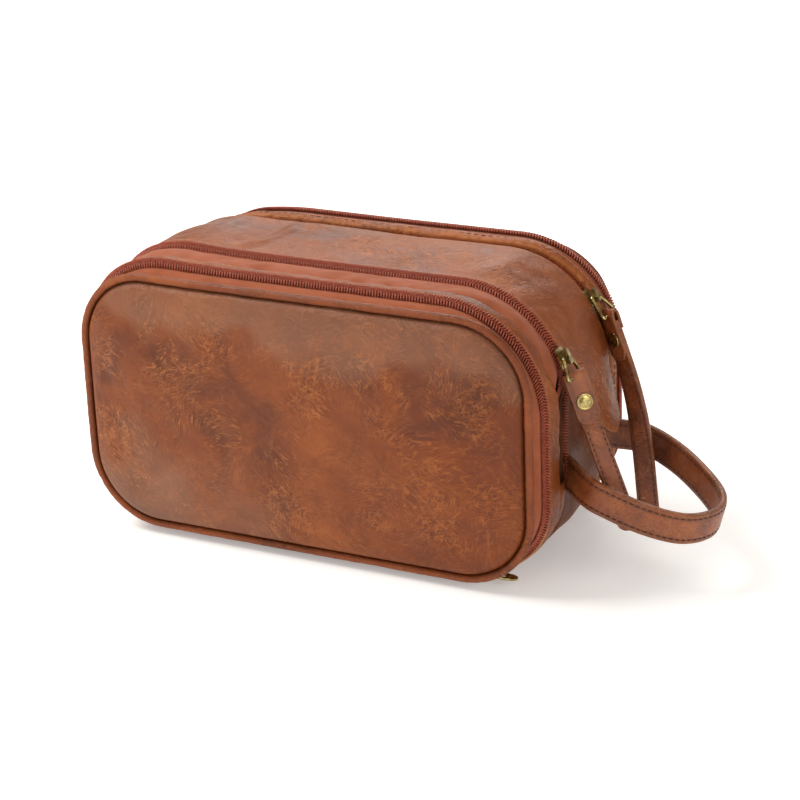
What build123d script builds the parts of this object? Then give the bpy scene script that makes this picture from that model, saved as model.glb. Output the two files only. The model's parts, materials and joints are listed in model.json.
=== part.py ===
"""Hanging toiletry bag: four zipped sections, piped end panels, side loop handle.

Millimetres, +Z up, origin on the standing plane under the middle of the body.
+X is the handle side, -Y is the front panel, +Y is the rear panel.
"""
from build123d import *
import os
from math import cos, hypot, radians, sin

os.makedirs("parts", exist_ok=True)

# ---------------------------------------------------------------- shared sizes
HALF_W = 131.0        # half width of the zip outline
TOP = 150.0           # height of the zip outline
R_TOP = 55.0          # top corner radius
R_BOT = 40.0          # bottom corner radius
BOT_COVER = 8.0       # underside height of the outline at zips 1 and 4
BOT_SECT = 4.0        # underside height of the outline of the outer sections
SPLIT_Z = 48.0        # the zips open above this height
LOWER_TOP = SPLIT_Z - 0.3   # top of the pieces that close the lower part
LEATHER = 2.0         # leather gusset thickness
COVER_Y = 59.6        # distance from the middle of the inner edge of each end panel's hem
HEM_Y = 56.2          # distance of the hem's other edge
HINGE_Y = 55.9        # distance of the outer edge of each hinge strip
FABRIC = 0.8          # thickness of linings, pockets and elastic
CLEARANCE = 0.08      # radial clearance of a pin or wire in its hole
FAR = 300.0           # beyond the bag in every direction

# zip lines
Z1_Y = -51.5          # front cover to front section
Z2_Y = -24.5          # front section to main body
Z3_Y = 36.0           # main body to rear section (sunk in a groove)
Z4_Y = 52.0           # rear section to rear cover

# zip profile: y from the zip line, heights outwards from the outline
COIL_GAP = 0.6        # half gap between the two coil rails
COIL_EDGE = 2.9       # outer edge of a coil rail
SUNK_COIL_EDGE = 2.6  # the same on zip 3
TAPE = (-1.5, -0.7)   # inner and outer face of the tape
COIL = (-0.6, 1.8)    # foot and crest of the coil
SUNK_TAPE = (-5.4, -4.6)
SUNK_COIL = (-4.5, -2.4)

# end panel outlines: the rim lies inside the zip outline, the crest inside the rim
RIM_INSET = 8.0
CREST_INSET = 15.0
RIM = dict(bottom=BOT_COVER + 1, half_width=HALF_W - RIM_INSET, top=TOP - RIM_INSET,
           top_radius=35, bottom_radius=35)
CREST = dict(bottom=RIM["bottom"] + CREST_INSET, half_width=RIM["half_width"] - CREST_INSET,
             top=RIM["top"] - CREST_INSET, top_radius=21, bottom_radius=21)


# ---------------------------------------------------------------- helpers
def at(y):
    """Sketch plane across the bag at y, drawn as (x, z) seen from the front."""
    return Plane(origin=(0, y, 0), x_dir=(1, 0, 0), z_dir=(0, -1, 0))


def save(builder, label):
    builder.part.label = label
    export_step(builder.part, "parts/" + label + ".step")


def outline(sketch, grow=0.0, bottom=0.0, half_width=HALF_W, top=TOP,
            top_radius=R_TOP, bottom_radius=R_BOT):
    """Draw the rounded outline of the bag, grown outwards, in the open sketch."""
    low, high = bottom - grow, top + grow
    with Locations((0, (low + high) / 2)):
        Rectangle(2 * (half_width + grow), high - low)
    fillet(sketch.vertices().group_by(Axis.Y)[-1], top_radius + grow)
    fillet(sketch.vertices().group_by(Axis.Y)[0], bottom_radius + grow)


def band(y_a, y_b, heights, bottom=0.0, half_width=HALF_W):
    """Hoop along the outline between two y; heights are its inner and outer faces."""
    y_front, y_rear = sorted((y_a, y_b))
    inner, outer = heights
    with BuildSketch(at(y_rear)) as sketch:
        outline(sketch, outer, bottom, half_width)
        offset(amount=-(outer - inner), mode=Mode.SUBTRACT)
    extrude(sketch.sketch, amount=y_rear - y_front)


def leather_band(y_a, y_b, bottom=0.0, half_width=HALF_W):
    band(y_a, y_b, (-LEATHER, 0), bottom, half_width)


def plate(y_a, y_b, grow, mode=Mode.ADD, **shape):
    """Flat panel filling an outline between two y."""
    y_front, y_rear = sorted((y_a, y_b))
    with BuildSketch(at(y_rear)) as sketch:
        outline(sketch, grow, **shape)
    extrude(sketch.sketch, amount=y_rear - y_front, mode=mode)


def pillow(s, y_back, y_rim, y_crest, inset, mode=Mode.ADD):
    """Straight rim, then a crown drawn in to the crest; y are distances on side s."""
    plate(s * y_back, s * y_rim, -inset, mode, **RIM)
    with BuildSketch(at(s * y_rim)) as rim:
        outline(rim, -inset, **RIM)
    with BuildSketch(at(s * y_crest)) as crest:
        outline(crest, -inset, **CREST)
    loft([rim.sketch, crest.sketch], mode=mode)


def clip(x_min=-FAR, x_max=FAR, z_min=-FAR, z_max=FAR):
    """Keep only what lies within these limits."""
    with Locations(((x_min + x_max) / 2, 0, (z_min + z_max) / 2)):
        Box(x_max - x_min, 2 * FAR, z_max - z_min, mode=Mode.INTERSECT)


def bar_y(x, y, z, radius, half_length, mode=Mode.ADD):
    """Round bar or bore along Y."""
    with BuildSketch(Plane(origin=(x, y, z), x_dir=(1, 0, 0), z_dir=(0, -1, 0))) as sketch:
        Circle(radius)
    extrude(sketch.sketch, amount=half_length, both=True, mode=mode)


# ================================================================ end covers
PANEL_Y = 66.0        # distance of each end panel's rim from the middle
PIPE_Y = 63.0         # distance of each piping centre from the middle
PIPE_R = 3.1          # piping radius
PIPE_GROW = 3.25      # piping centre outside the panel rim
COVER_LINING_Y = 59.4  # distance of the lining's inner face


def end_cover(s, side):
    # leather panel with a soft crown, a shell over the foam
    with BuildPart() as panel:
        pillow(s, 63.6, PANEL_Y, 69.5, inset=0.0)
        pillow(s, 63.0, 64.6, 68.0, inset=1.4, mode=Mode.SUBTRACT)
    save(panel, side + "_panel")

    with BuildPart() as foam:
        pillow(s, 60.4, 64.4, 67.8, inset=1.7)
    save(foam, side + "_panel_foam")

    with BuildPart() as lining:
        plate(s * COVER_LINING_Y, s * (COVER_LINING_Y + FABRIC), -1, **RIM)
    save(lining, side + "_cover_lining")

    # fat leather piping round the rim
    with BuildPart() as piping:
        with BuildSketch(at(s * PIPE_Y), mode=Mode.PRIVATE) as rim:
            outline(rim, PIPE_GROW, **RIM)
        path = rim.sketch.faces()[0].outer_wire()
        with BuildSketch(Plane(origin=path @ 0, z_dir=path % 0)):
            Circle(PIPE_R)
        sweep(path=path)
    save(piping, side + "_piping")

    # leather hem of the cover round the bottom corners and underside
    with BuildPart() as hem:
        leather_band(s * HEM_Y, s * COVER_Y, BOT_COVER)
        clip(z_max=LOWER_TOP)
    save(hem, side + "_cover_hem")


end_cover(-1, "front")
end_cover(1, "rear")


# ================================================================ zips
def zip_halves(name, y, front_edge, rear_edge, bottom=0.0,
               tape=TAPE, coil=COIL, coil_edge=COIL_EDGE):
    """Tape and coil rail on both sides of a zip line; edges are the tape limits."""
    for side, s, tape_edge in (("front", -1, front_edge), ("rear", 1, rear_edge)):
        for kind, far_edge, heights in (("tape", tape_edge, tape),
                                        ("coil", y + s * coil_edge, coil)):
            with BuildPart() as part:
                band(y + s * COIL_GAP, far_edge, heights, bottom)
                clip(z_min=SPLIT_Z)
            save(part, f"{name}_{side}_{kind}")


zip_halves("zip1", Z1_Y, -COVER_Y, -47.3, BOT_COVER)
zip_halves("zip2", Z2_Y, -33.3, -19.2)
zip_halves("zip3", Z3_Y, 28.2, 43.8,
           tape=SUNK_TAPE, coil=SUNK_COIL, coil_edge=SUNK_COIL_EDGE)
zip_halves("zip4", Z4_Y, 46.3, COVER_Y, BOT_COVER)

TAIL_X = 86.0         # end of the zip tails under the bag
TAIL_TAPE_EDGE = 4.0  # outer edge of the tail's tape from the zip line
STOP = 2.0            # length and height of the bottom stop
TAB_W = 8.4           # width of the end tabs and the pull tabs


def zip_end(s, name, y):
    """Closed end of an outer zip: rails and tape round the lower corner, and a tab."""
    with BuildPart() as tail:
        for far_edge, heights in ((COIL_EDGE, COIL), (TAIL_TAPE_EDGE, (TAPE[0], COIL[0]))):
            for side in (-s, s):
                band(y + side * COIL_GAP, y + side * far_edge, heights, BOT_COVER)
        # bottom stop joins the two rails
        with Locations((TAIL_X + STOP / 2, y, BOT_COVER)):
            Box(STOP, 2 * COIL_EDGE, STOP)
        clip(x_min=TAIL_X, z_max=LOWER_TOP)
    save(tail, name + "_tail")

    with BuildPart() as tab:
        with Locations((81.2, y, BOT_COVER - 1.4)):
            Box(8.6, TAB_W, 2.4)
    save(tab, name + "_end_tab")


zip_end(-1, "zip1", Z1_Y)
zip_end(1, "zip4", Z4_Y)

# ================================================================ outer sections
HINGE_X = 76.5        # +X end of the hinge strips


def outer_gusset(label, lower_ys, hoop_ys):
    """Full leather hoop, widened round the bottom towards the main body."""
    with BuildPart() as gusset:
        leather_band(*lower_ys, BOT_SECT)
        clip(z_max=LOWER_TOP)
        leather_band(*hoop_ys, BOT_SECT)
    save(gusset, label)


def hinge_strip(label, y_a, y_b):
    with BuildPart() as strip:
        leather_band(y_a, y_b, BOT_COVER)
        clip(x_max=HINGE_X, z_max=LOWER_TOP)
    save(strip, label)


outer_gusset("section_gusset", (-33.6, -24.8), (-47.0, -33.5))
outer_gusset("rear_strip_gusset", (36.4, 39.1), (39.0, 46.0))
hinge_strip("front_hinge_strip", -HINGE_Y, -47.2)
hinge_strip("rear_hinge_strip", 46.2, HINGE_Y)

# ================================================================ dividers
DIVIDER_T = 1.0
LINING_OUT = -7.6     # outer face of the main lining, from the outline

# label, y of the front face, growth of the outline, underside height
DIVIDERS = (
    ("section_divider", -32.0, -6.0, BOT_SECT),
    ("main_divider", 24.0, LINING_OUT, 0.0),
    ("rear_divider", 44.4, LINING_OUT, BOT_SECT),
)
for label, y, grow, bottom in DIVIDERS:
    with BuildPart() as divider:
        plate(y, y + DIVIDER_T, grow, bottom=bottom)
    save(divider, label)

# ================================================================ elastic loops
ELASTIC_Z = 78.0      # middle height of the strip and its loops
LOOP_H = 24.0
LOOP_Y = -30.0        # flat back of the loops
LOOP_RX = 16.0
LOOP_RY = 4.4
LOOP_CUT = 10.0       # depth cut away in front of LOOP_Y
LOOP_PLACES = [(x, LOOP_Y) for x in (-80, -40, 0, 40, 80)]

# strip on the section divider with five raised half loops
with BuildPart() as elastic_loops:
    with Locations((0, LOOP_Y - FABRIC / 2, ELASTIC_Z)):
        Box(200, FABRIC, 28)
    with BuildSketch(Plane.XY.offset(ELASTIC_Z - LOOP_H / 2)):
        with Locations(*LOOP_PLACES):
            Ellipse(LOOP_RX, LOOP_RY)
        with Locations(*LOOP_PLACES):
            Ellipse(LOOP_RX - FABRIC, LOOP_RY - FABRIC, mode=Mode.SUBTRACT)
        with Locations((0, LOOP_Y - LOOP_CUT / 2)):
            Rectangle(2 * FAR, LOOP_CUT, mode=Mode.SUBTRACT)
    extrude(amount=LOOP_H)
save(elastic_loops, "elastic_loops")

# ================================================================ main body
GUSSET_FRONT = -19.0
GUSSET_REAR = 33.0
TAB_Z = 64.0          # lower end of the rounded gusset tabs
TAB_R = 15.0          # corner radius of the tabs
LOWER_W = 127.5       # half width of the sunk lower sides

with BuildPart() as top_gusset:
    leather_band(GUSSET_FRONT, GUSSET_REAR)
    # rounded tab ends, seen from the side
    with BuildSketch(Plane.YZ) as side_view:
        with Locations(((GUSSET_FRONT + GUSSET_REAR) / 2, TAB_Z + TOP / 2)):
            Rectangle(GUSSET_REAR - GUSSET_FRONT, TOP)
        fillet(side_view.vertices().group_by(Axis.Y)[0], TAB_R)
    extrude(amount=200, both=True, mode=Mode.INTERSECT)
save(top_gusset, "top_gusset")

# sunk sides and flat underside, with a lower strip running rearwards to zip 3
with BuildPart() as lower_gusset:
    leather_band(-24.2, 27.8, half_width=LOWER_W)
    clip(z_max=80)
    with BuildSketch(at(Z3_Y - COIL_GAP)) as strip_sketch:
        outline(strip_sketch, half_width=LOWER_W)
        offset(amount=-LEATHER, mode=Mode.SUBTRACT)
        with Locations((0, SPLIT_Z - 0.4 + FAR)):
            Rectangle(2 * FAR, 2 * FAR, mode=Mode.SUBTRACT)
    extrude(amount=10)
save(lower_gusset, "lower_gusset")

with BuildPart() as main_lining:
    band(-18.0, 23.5, (LINING_OUT - FABRIC, LINING_OUT))
save(main_lining, "main_lining")

with BuildPart() as bottom_board:
    with BuildSketch(Plane.XY.offset(8.8)) as board_sketch:
        with Locations((0, 2.5)):
            Rectangle(166, 39)
        fillet(board_sketch.vertices(), 4)
    extrude(amount=1.8)
save(bottom_board, "bottom_board")

# ================================================================ pockets
POCKET_IN = 58.2      # distance of the pockets' inner faces from the middle
POCKET_R = 8.0        # corner radius

# mesh pocket on the inside of the front cover: sheet with a grid of holes
with BuildPart() as mesh_pocket:
    with BuildSketch(at(-POCKET_IN)) as mesh_sketch:
        with Locations((0, 50)):
            Rectangle(196, 56)
        fillet(mesh_sketch.vertices(), POCKET_R)
        with Locations((0, 48)):
            with GridLocations(8.0, 8.0, 22, 5):
                Circle(2.6, mode=Mode.SUBTRACT)
    extrude(amount=FABRIC)
save(mesh_pocket, "mesh_pocket")

# flat slip pocket on the inside of the rear cover
with BuildPart() as slip_pocket:
    with BuildSketch(at(POCKET_IN + FABRIC)) as slip_sketch:
        with Locations((0, 55)):
            Rectangle(190, 66)
        fillet(slip_sketch.vertices(), POCKET_R)
    extrude(amount=FABRIC)
save(slip_pocket, "slip_pocket")

# ================================================================ stowed hook
HOOK_Y = -15.6
EYE_Z = 128.0         # top bar of the wire eye
EYE_HALF_W = 10.0
EYE_WIRE_R = 1.4
COLLAR_Z = EYE_Z - 12.0   # lower bar of the eye, middle of the collar
STEM_R = 2.0
HEAD_R = 3.2
NECK_Z = COLLAR_Z - 6.0   # top of the flat hook's shank
HOOK_Z = 87.0         # centre of the hook's loop
HOOK_R = 16.0         # centreline radius of the loop
HOOK_DIAGONAL = 11.3  # x and z offset of the point halfway along the last quarter

with BuildPart() as hook_tab:
    with Locations((0, HOOK_Y, 133.4)):
        Box(15, 4.4, 15.6)
    with BuildSketch(Plane(origin=(0, HOOK_Y, EYE_Z), x_dir=(0, 1, 0), z_dir=(1, 0, 0))):
        Circle(EYE_WIRE_R + CLEARANCE)
    extrude(amount=30, both=True, mode=Mode.SUBTRACT)
save(hook_tab, "hook_tab")

# wire eye through the tab with a collar for the hook stem
with BuildPart() as hook_swivel:
    with BuildLine(at(HOOK_Y)) as eye_line:
        FilletPolyline((-EYE_HALF_W, EYE_Z), (EYE_HALF_W, EYE_Z),
                       (EYE_HALF_W, COLLAR_Z), (-EYE_HALF_W, COLLAR_Z),
                       radius=2.0, close=True)
    eye_path = eye_line.wires()[0]
    with BuildSketch(Plane(origin=eye_path @ 0, z_dir=eye_path % 0)):
        Circle(EYE_WIRE_R)
    sweep(path=eye_path)
    with Locations((0, HOOK_Y, COLLAR_Z)):
        Cylinder(4.2, 6.0)
        Cylinder(STEM_R + CLEARANCE, 20.0, mode=Mode.SUBTRACT)
save(hook_swivel, "hook_swivel")

# hook: headed stem and a flat open loop
with BuildPart() as hang_hook:
    with Locations((0, HOOK_Y, COLLAR_Z)):
        Cylinder(STEM_R, 14.0)
    with Locations((0, HOOK_Y, COLLAR_Z + 4.8)):
        Cylinder(HEAD_R, 2.0)
    with Locations((0, HOOK_Y, NECK_Z)):
        Cylinder(HEAD_R, 4.0)
    with BuildSketch(at(HOOK_Y)):
        with BuildLine():
            Polyline((0, NECK_Z), (0, HOOK_Z + HOOK_R))
            ThreePointArc((0, HOOK_Z + HOOK_R), (HOOK_R, HOOK_Z), (0, HOOK_Z - HOOK_R))
            ThreePointArc((0, HOOK_Z - HOOK_R), (-HOOK_DIAGONAL, HOOK_Z - HOOK_DIAGONAL),
                          (-HOOK_R, HOOK_Z))
        trace(line_width=4.4)
    extrude(amount=1.7, both=True)
save(hang_hook, "hang_hook")

# ================================================================ handle
HANDLE_H = 18.0       # handle strap height
HANDLE_T = 3.0        # handle strap thickness
HANDLE_ORIGIN = (HALF_W, 0, 53.0)   # on the swing axis
TILT = radians(14.2)  # handle droop
NOSE_R = 3.2          # rounded ends on the swing axis
TAPER_L = 14.0        # length over which the ends widen
TAPER_H = HANDLE_H / 2 + 0.2
TAPER_FAR = 120.0     # beyond the outer end of the loop

# centreline of the strap: (distance out from the swing axis, y)
HANDLE_POINTS = (
    (0, -16.6), (6, -21.0), (14, -31.5), (24, -35.5), (48, -37), (70, -29),
    (80, -10), (73, 9), (46, 30), (20, 39.5), (6, 34.5), (0, 31.2),
)

outwards = (cos(TILT), 0, -sin(TILT))
with BuildPart() as handle_strap:
    with BuildSketch(Plane(origin=HANDLE_ORIGIN, x_dir=outwards,
                           z_dir=(sin(TILT), 0, cos(TILT)))):
        with BuildLine():
            Spline(*HANDLE_POINTS)
        trace(line_width=HANDLE_T)
    extrude(amount=HANDLE_H / 2, both=True)
    # the two ends taper to small rounded noses on the swing axis
    with BuildSketch(Plane(origin=HANDLE_ORIGIN, x_dir=outwards, z_dir=(0, -1, 0))):
        Circle(NOSE_R)
        with BuildLine():
            Polyline((0, NOSE_R), (TAPER_L, TAPER_H), (TAPER_FAR, TAPER_H),
                     (TAPER_FAR, -TAPER_H), (TAPER_L, -TAPER_H), (0, -NOSE_R), (0, NOSE_R))
        make_face()
    extrude(amount=100, both=True, mode=Mode.INTERSECT)
save(handle_strap, "handle_strap")

# ================================================================ sliders
TOP_CORNER = (HALF_W - R_TOP, TOP - R_TOP)             # (x, z) of the arc centre
LOW_CORNER = (HALF_W - R_BOT, BOT_COVER + R_BOT)
UNDER_T = 1.1         # slider plate under the tape
OVER_T = 1.0          # slider plate over the coil
PLATE_ANGLE = 5.2     # half the angle a slider plate spans
WIRE_R = 0.9          # pull ring wire radius
WIRE_HOLE = WIRE_R + CLEARANCE


def arc_block(centre, r_in, r_out, angle, half_angle, y_front, y_rear):
    """Curved block on a corner arc, centred on angle (degrees from +X)."""
    x, z = centre
    with BuildSketch(at(y_rear)) as sketch:
        with Locations(centre):
            Circle(r_out)
            Circle(r_in, mode=Mode.SUBTRACT)
        start, end = radians(angle - half_angle), radians(angle + half_angle)
        reach = r_out * 1.5
        with BuildLine():
            Polyline(centre, (x + reach * cos(start), z + reach * sin(start)),
                     (x + reach * cos(end), z + reach * sin(end)), centre)
        make_face(mode=Mode.INTERSECT)
    extrude(sketch.sketch, amount=y_rear - y_front)


def slider(label, centre, radius, angle, y, under, over, bore, half_width, flange=False):
    """Zip slider on a corner arc; returns the (x, z) of its pull bore.

    under and over are the inner faces of the plates below the tape and above the
    coil, and bore the height of the pull bore, all measured outwards from the arc.
    flange adds a guide lip on the rear edge.
    """
    r_under, r_over, r_bore = radius + under, radius + over, radius + bore
    with BuildPart() as part:
        for r_plate, thickness in ((r_under, UNDER_T), (r_over, OVER_T)):
            arc_block(centre, r_plate, r_plate + thickness, angle, PLATE_ANGLE,
                      y - half_width, y + half_width)
        # web between the plates
        arc_block(centre, r_under + 0.2, r_over + 0.2, angle - 2.6, 2.4, y - 0.45, y + 0.45)
        if flange:
            arc_block(centre, r_over - 2.2, r_over + 0.2, angle, PLATE_ANGLE,
                      y + half_width - 0.5, y + half_width)
        # bridge for the pull
        arc_block(centre, r_over + OVER_T - 0.2, r_bore + 2.3, angle, 3.6, y - 1.3, y + 1.3)
        bore_x = centre[0] + r_bore * cos(radians(angle))
        bore_z = centre[1] + r_bore * sin(radians(angle))
        bar_y(bore_x, y, bore_z, WIRE_HOLE, 8, Mode.SUBTRACT)
    save(part, label)
    return bore_x, bore_z


# ---------------------------------------------------------------- leather pulls
STRAP_W = 11.5        # pull strap width
STRAP_T = 3.0         # pull strap thickness
STRAP_ABOVE = 2.6     # strap length above its bore
RING_TOP = 3.4        # half width of the ring at the slider
RING_LOW = 8.0        # half width of the ring at the strap
RIVET_DROP = 13.0     # rivet below the strap bore


def pull_ring(label, upper, lower, y):
    """Wire loop from the slider bore to the strap bore, both (x, z)."""
    dx, dz = lower[0] - upper[0], lower[1] - upper[1]
    length = hypot(dx, dz)
    ring_plane = Plane(origin=(upper[0], y, upper[1]), x_dir=(0, 1, 0),
                       z_dir=(dz / length, 0, -dx / length))
    with BuildPart() as ring:
        with BuildLine(ring_plane) as line:
            FilletPolyline((-RING_TOP, 0), (RING_TOP, 0), (RING_LOW, length),
                           (-RING_LOW, length), radius=1.8, close=True)
        path = line.wires()[0]
        with BuildSketch(Plane(origin=path @ 0, z_dir=path % 0)) as section:
            Circle(WIRE_R)
        sweep(section.sketch, path=path)
    save(ring, label)


def pull_strap(number, bore, y, down, length):
    """Leather strap hanging from its bore (x, z) along down, and its rivet."""
    origin = Vector(bore[0], y, bore[1])
    along = Vector(*down).normalized()
    across = (Vector(0, 1, 0) - along * Vector(0, 1, 0).dot(along)).normalized()
    normal = across.cross(along * -1)    # faces +X

    # the plane's own Y points back up the strap
    with BuildPart() as strap:
        with BuildSketch(Plane(origin=origin, x_dir=across, z_dir=normal)) as sketch:
            with Locations((0, STRAP_ABOVE - length / 2)):
                Rectangle(STRAP_W, length)
            fillet(sketch.vertices(), 2.4)
        extrude(amount=STRAP_T / 2, both=True)
        bar_y(bore[0], y, bore[1], WIRE_HOLE, 12, Mode.SUBTRACT)
    save(strap, f"pull_strap_{number}")

    # two-step rivet head on the outer face
    seat = origin + along * RIVET_DROP + normal * (STRAP_T / 2 + 0.03)
    with BuildPart() as rivet:
        with BuildSketch(Plane(origin=seat, z_dir=normal)):
            Circle(4.2)
        extrude(amount=0.9)
        with BuildSketch(Plane(origin=seat + normal * 0.85, z_dir=normal)):
            Circle(2.9)
        extrude(amount=0.7)
    save(rivet, f"strap_rivet_{number}")


# slider 2: on the top +X corner of zip 2
x, z = slider("slider_2", TOP_CORNER, R_TOP, 22.0, Z2_Y,
              under=-2.9, over=2.0, bore=4.9, half_width=3.7, flange=True)
strap_bore = (x + 4.6, z - 10.4)
pull_ring("pull_ring_2", (x, z), strap_bore, Z2_Y)
pull_strap(2, strap_bore, Z2_Y, down=(sin(radians(20)), 0.0, -cos(radians(20))), length=84.0)

# slider 3: sunk in the groove of zip 3, its strap aimed at STRAP_3_AIM
STRAP_3_AIM = (161.0, 17.0, 12.0)
x, z = slider("slider_3", TOP_CORNER, R_TOP, 34.0, Z3_Y,
              under=-6.8, over=-2.2, bore=1.6, half_width=2.6)
strap_bore = (x + 8.6, z - 9.4)
pull_ring("pull_ring_3", (x, z), strap_bore, Z3_Y)
pull_strap(3, strap_bore, Z3_Y, length=108.0,
           down=(STRAP_3_AIM[0] - strap_bore[0], STRAP_3_AIM[1] - Z3_Y,
                 STRAP_3_AIM[2] - strap_bore[1]))

# ---------------------------------------------------------------- flat pull tabs
ARM_L = 9.0
ARM_W = 1.6

# sliders 1 and 4 under the lower +X corner, each with a flat pull tab
for number, y in ((1, Z1_Y), (4, Z4_Y)):
    x, z = slider(f"slider_{number}", LOW_CORNER, R_BOT, -87.0, y,
                  under=-2.9, over=2.0, bore=4.1, half_width=3.6)
    with BuildPart() as pull_tab:
        bar_y(x, y, z, WIRE_R, TAB_W / 2)
        for side in (-1, 1):
            with Locations((x + ARM_L / 2, y + side * (TAB_W - ARM_W) / 2, z)):
                Box(ARM_L, ARM_W, 2 * WIRE_R)
        with Locations((x + 15.0, y, z)):
            Box(13.0, TAB_W, 1.6)
    save(pull_tab, f"pull_tab_{number}")
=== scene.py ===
import bpy, math, json
import numpy as np
from mathutils import Matrix, Vector

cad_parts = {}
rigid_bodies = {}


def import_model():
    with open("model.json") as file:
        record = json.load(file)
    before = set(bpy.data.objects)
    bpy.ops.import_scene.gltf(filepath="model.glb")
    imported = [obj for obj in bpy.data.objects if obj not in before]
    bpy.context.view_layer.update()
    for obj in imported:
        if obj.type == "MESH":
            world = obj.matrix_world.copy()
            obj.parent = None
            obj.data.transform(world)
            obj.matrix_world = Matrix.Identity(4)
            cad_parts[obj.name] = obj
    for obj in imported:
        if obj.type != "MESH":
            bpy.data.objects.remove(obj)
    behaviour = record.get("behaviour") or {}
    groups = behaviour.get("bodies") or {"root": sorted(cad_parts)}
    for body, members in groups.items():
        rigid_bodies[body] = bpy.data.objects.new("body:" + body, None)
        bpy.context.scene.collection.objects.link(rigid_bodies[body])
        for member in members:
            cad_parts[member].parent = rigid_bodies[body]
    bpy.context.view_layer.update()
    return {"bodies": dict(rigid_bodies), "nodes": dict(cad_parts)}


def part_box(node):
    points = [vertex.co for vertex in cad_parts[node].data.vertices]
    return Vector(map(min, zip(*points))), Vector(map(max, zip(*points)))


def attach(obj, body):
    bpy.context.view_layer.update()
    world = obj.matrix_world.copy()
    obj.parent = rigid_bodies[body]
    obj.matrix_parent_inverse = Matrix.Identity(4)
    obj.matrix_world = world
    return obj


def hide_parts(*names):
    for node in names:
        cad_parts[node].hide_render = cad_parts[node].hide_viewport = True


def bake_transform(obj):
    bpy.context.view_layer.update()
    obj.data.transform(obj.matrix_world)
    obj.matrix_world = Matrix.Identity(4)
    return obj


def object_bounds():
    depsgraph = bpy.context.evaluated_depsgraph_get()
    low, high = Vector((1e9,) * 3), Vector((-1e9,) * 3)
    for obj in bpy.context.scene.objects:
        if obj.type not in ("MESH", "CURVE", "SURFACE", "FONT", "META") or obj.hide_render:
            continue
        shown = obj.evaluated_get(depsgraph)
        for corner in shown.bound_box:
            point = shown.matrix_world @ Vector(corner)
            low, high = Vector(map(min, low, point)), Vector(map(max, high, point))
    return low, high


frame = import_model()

NODES = frame["nodes"]
MM = 0.001
PI = math.pi


# ------------------------------------------------------------------ small maths
def sstep(a, b, x):
    t = np.clip((np.asarray(x, float) - a) / (b - a), 0, 1)
    return t * t * (3 - 2 * t)


def waves(seed, lo, hi, n=14):
    """A smooth, repeatable field made of plane waves with lengths lo..hi mm; about -1..1."""
    g = np.random.RandomState(seed)
    k = g.normal(size=(n, 3))
    k /= np.linalg.norm(k, axis=1)[:, None]
    k *= (2 * PI / g.uniform(lo, hi, n))[:, None]
    ph = g.uniform(0, 2 * PI, n)

    def f(p):
        return np.sin(np.asarray(p) @ k.T + ph).sum(-1) / (1.3 * math.sqrt(n))
    return f


N_BIG, N_MID, N_SML, N_TINY = waves(3, 55, 110), waves(5, 20, 42), waves(7, 9, 18), waves(9, 4, 8)


def smooth_curve(pts, n, closed=False):
    """Catmull-Rom through pts, then n evenly spaced points."""
    p = np.array(pts, float)
    if closed:
        p = np.vstack([p[-1], p, p[0], p[1]])
    else:
        p = np.vstack([2 * p[0] - p[1], p, 2 * p[-1] - p[-2]])
    out = []
    t = np.linspace(0, 1, 24, endpoint=False)[:, None]
    for i in range(1, len(p) - 2):
        a, b, c, d = p[i - 1], p[i], p[i + 1], p[i + 2]
        out.append(0.5 * ((2 * b) + (c - a) * t + (2 * a - 5 * b + 4 * c - d) * t ** 2 + (3 * b - a - 3 * c + d) * t ** 3))
    q = np.vstack(out + ([] if closed else [p[-2][None]]))
    if closed:
        q = np.vstack([q, q[0]])
    l = np.r_[0, np.cumsum(np.linalg.norm(np.diff(q, axis=0), axis=1))]
    u = np.linspace(0, l[-1], n + 1)[:-1] if closed else np.linspace(0, l[-1], n)
    return np.stack([np.interp(u, l, q[:, i]) for i in range(q.shape[1])], 1)


class Path:
    """Rounded outline in XZ. s runs from the bottom centre to +X, up the right side, over the top and back."""

    def __init__(self, half, z0, z1, rt, rb):
        self.a = (half, z0, z1, rt, rb)
        self.l = np.array([half - rb, PI / 2 * rb, (z1 - rt) - (z0 + rb), PI / 2 * rt, 2 * (half - rt),
                           PI / 2 * rt, (z1 - rt) - (z0 + rb), PI / 2 * rb, half - rb])
        self.c = np.r_[0, np.cumsum(self.l)]
        self.L = self.c[-1]

    def at(self, s):
        half, z0, z1, rt, rb = self.a
        s = np.mod(np.asarray(s, float), self.L)
        k = np.clip(np.searchsorted(self.c, s, side="right") - 1, 0, 8)
        u = s - self.c[k]
        x, z, nx, nz = (np.zeros_like(s) for _ in range(4))

        def put(m, X, Z, NX, NZ):
            x[m], z[m], nx[m], nz[m] = X, Z, NX, NZ
        m = k == 0; put(m, u[m], z0, 0, -1)
        m = k == 1; a = u[m] / rb; put(m, half - rb + rb * np.sin(a), z0 + rb - rb * np.cos(a), np.sin(a), -np.cos(a))
        m = k == 2; put(m, half, z0 + rb + u[m], 1, 0)
        m = k == 3; a = u[m] / rt; put(m, half - rt + rt * np.cos(a), z1 - rt + rt * np.sin(a), np.cos(a), np.sin(a))
        m = k == 4; put(m, half - rt - u[m], z1, 0, 1)
        m = k == 5; a = u[m] / rt; put(m, -half + rt - rt * np.sin(a), z1 - rt + rt * np.cos(a), -np.sin(a), np.cos(a))
        m = k == 6; put(m, -half, z1 - rt - u[m], -1, 0)
        m = k == 7; a = u[m] / rb; put(m, -half + rb - rb * np.cos(a), z0 + rb - rb * np.sin(a), -np.cos(a), -np.sin(a))
        m = k == 8; put(m, -half + rb + u[m], z0, 0, -1)
        return x, z, nx, nz

    def s_side(self, z):
        """Arc length of height z on the right straight side."""
        return self.c[2] + (z - self.a[1] - self.a[4])


P8 = Path(131, 8, 150, 55, 40)
P4 = Path(131, 4, 150, 55, 40)
P0 = Path(131, 0, 150, 55, 40)


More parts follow.
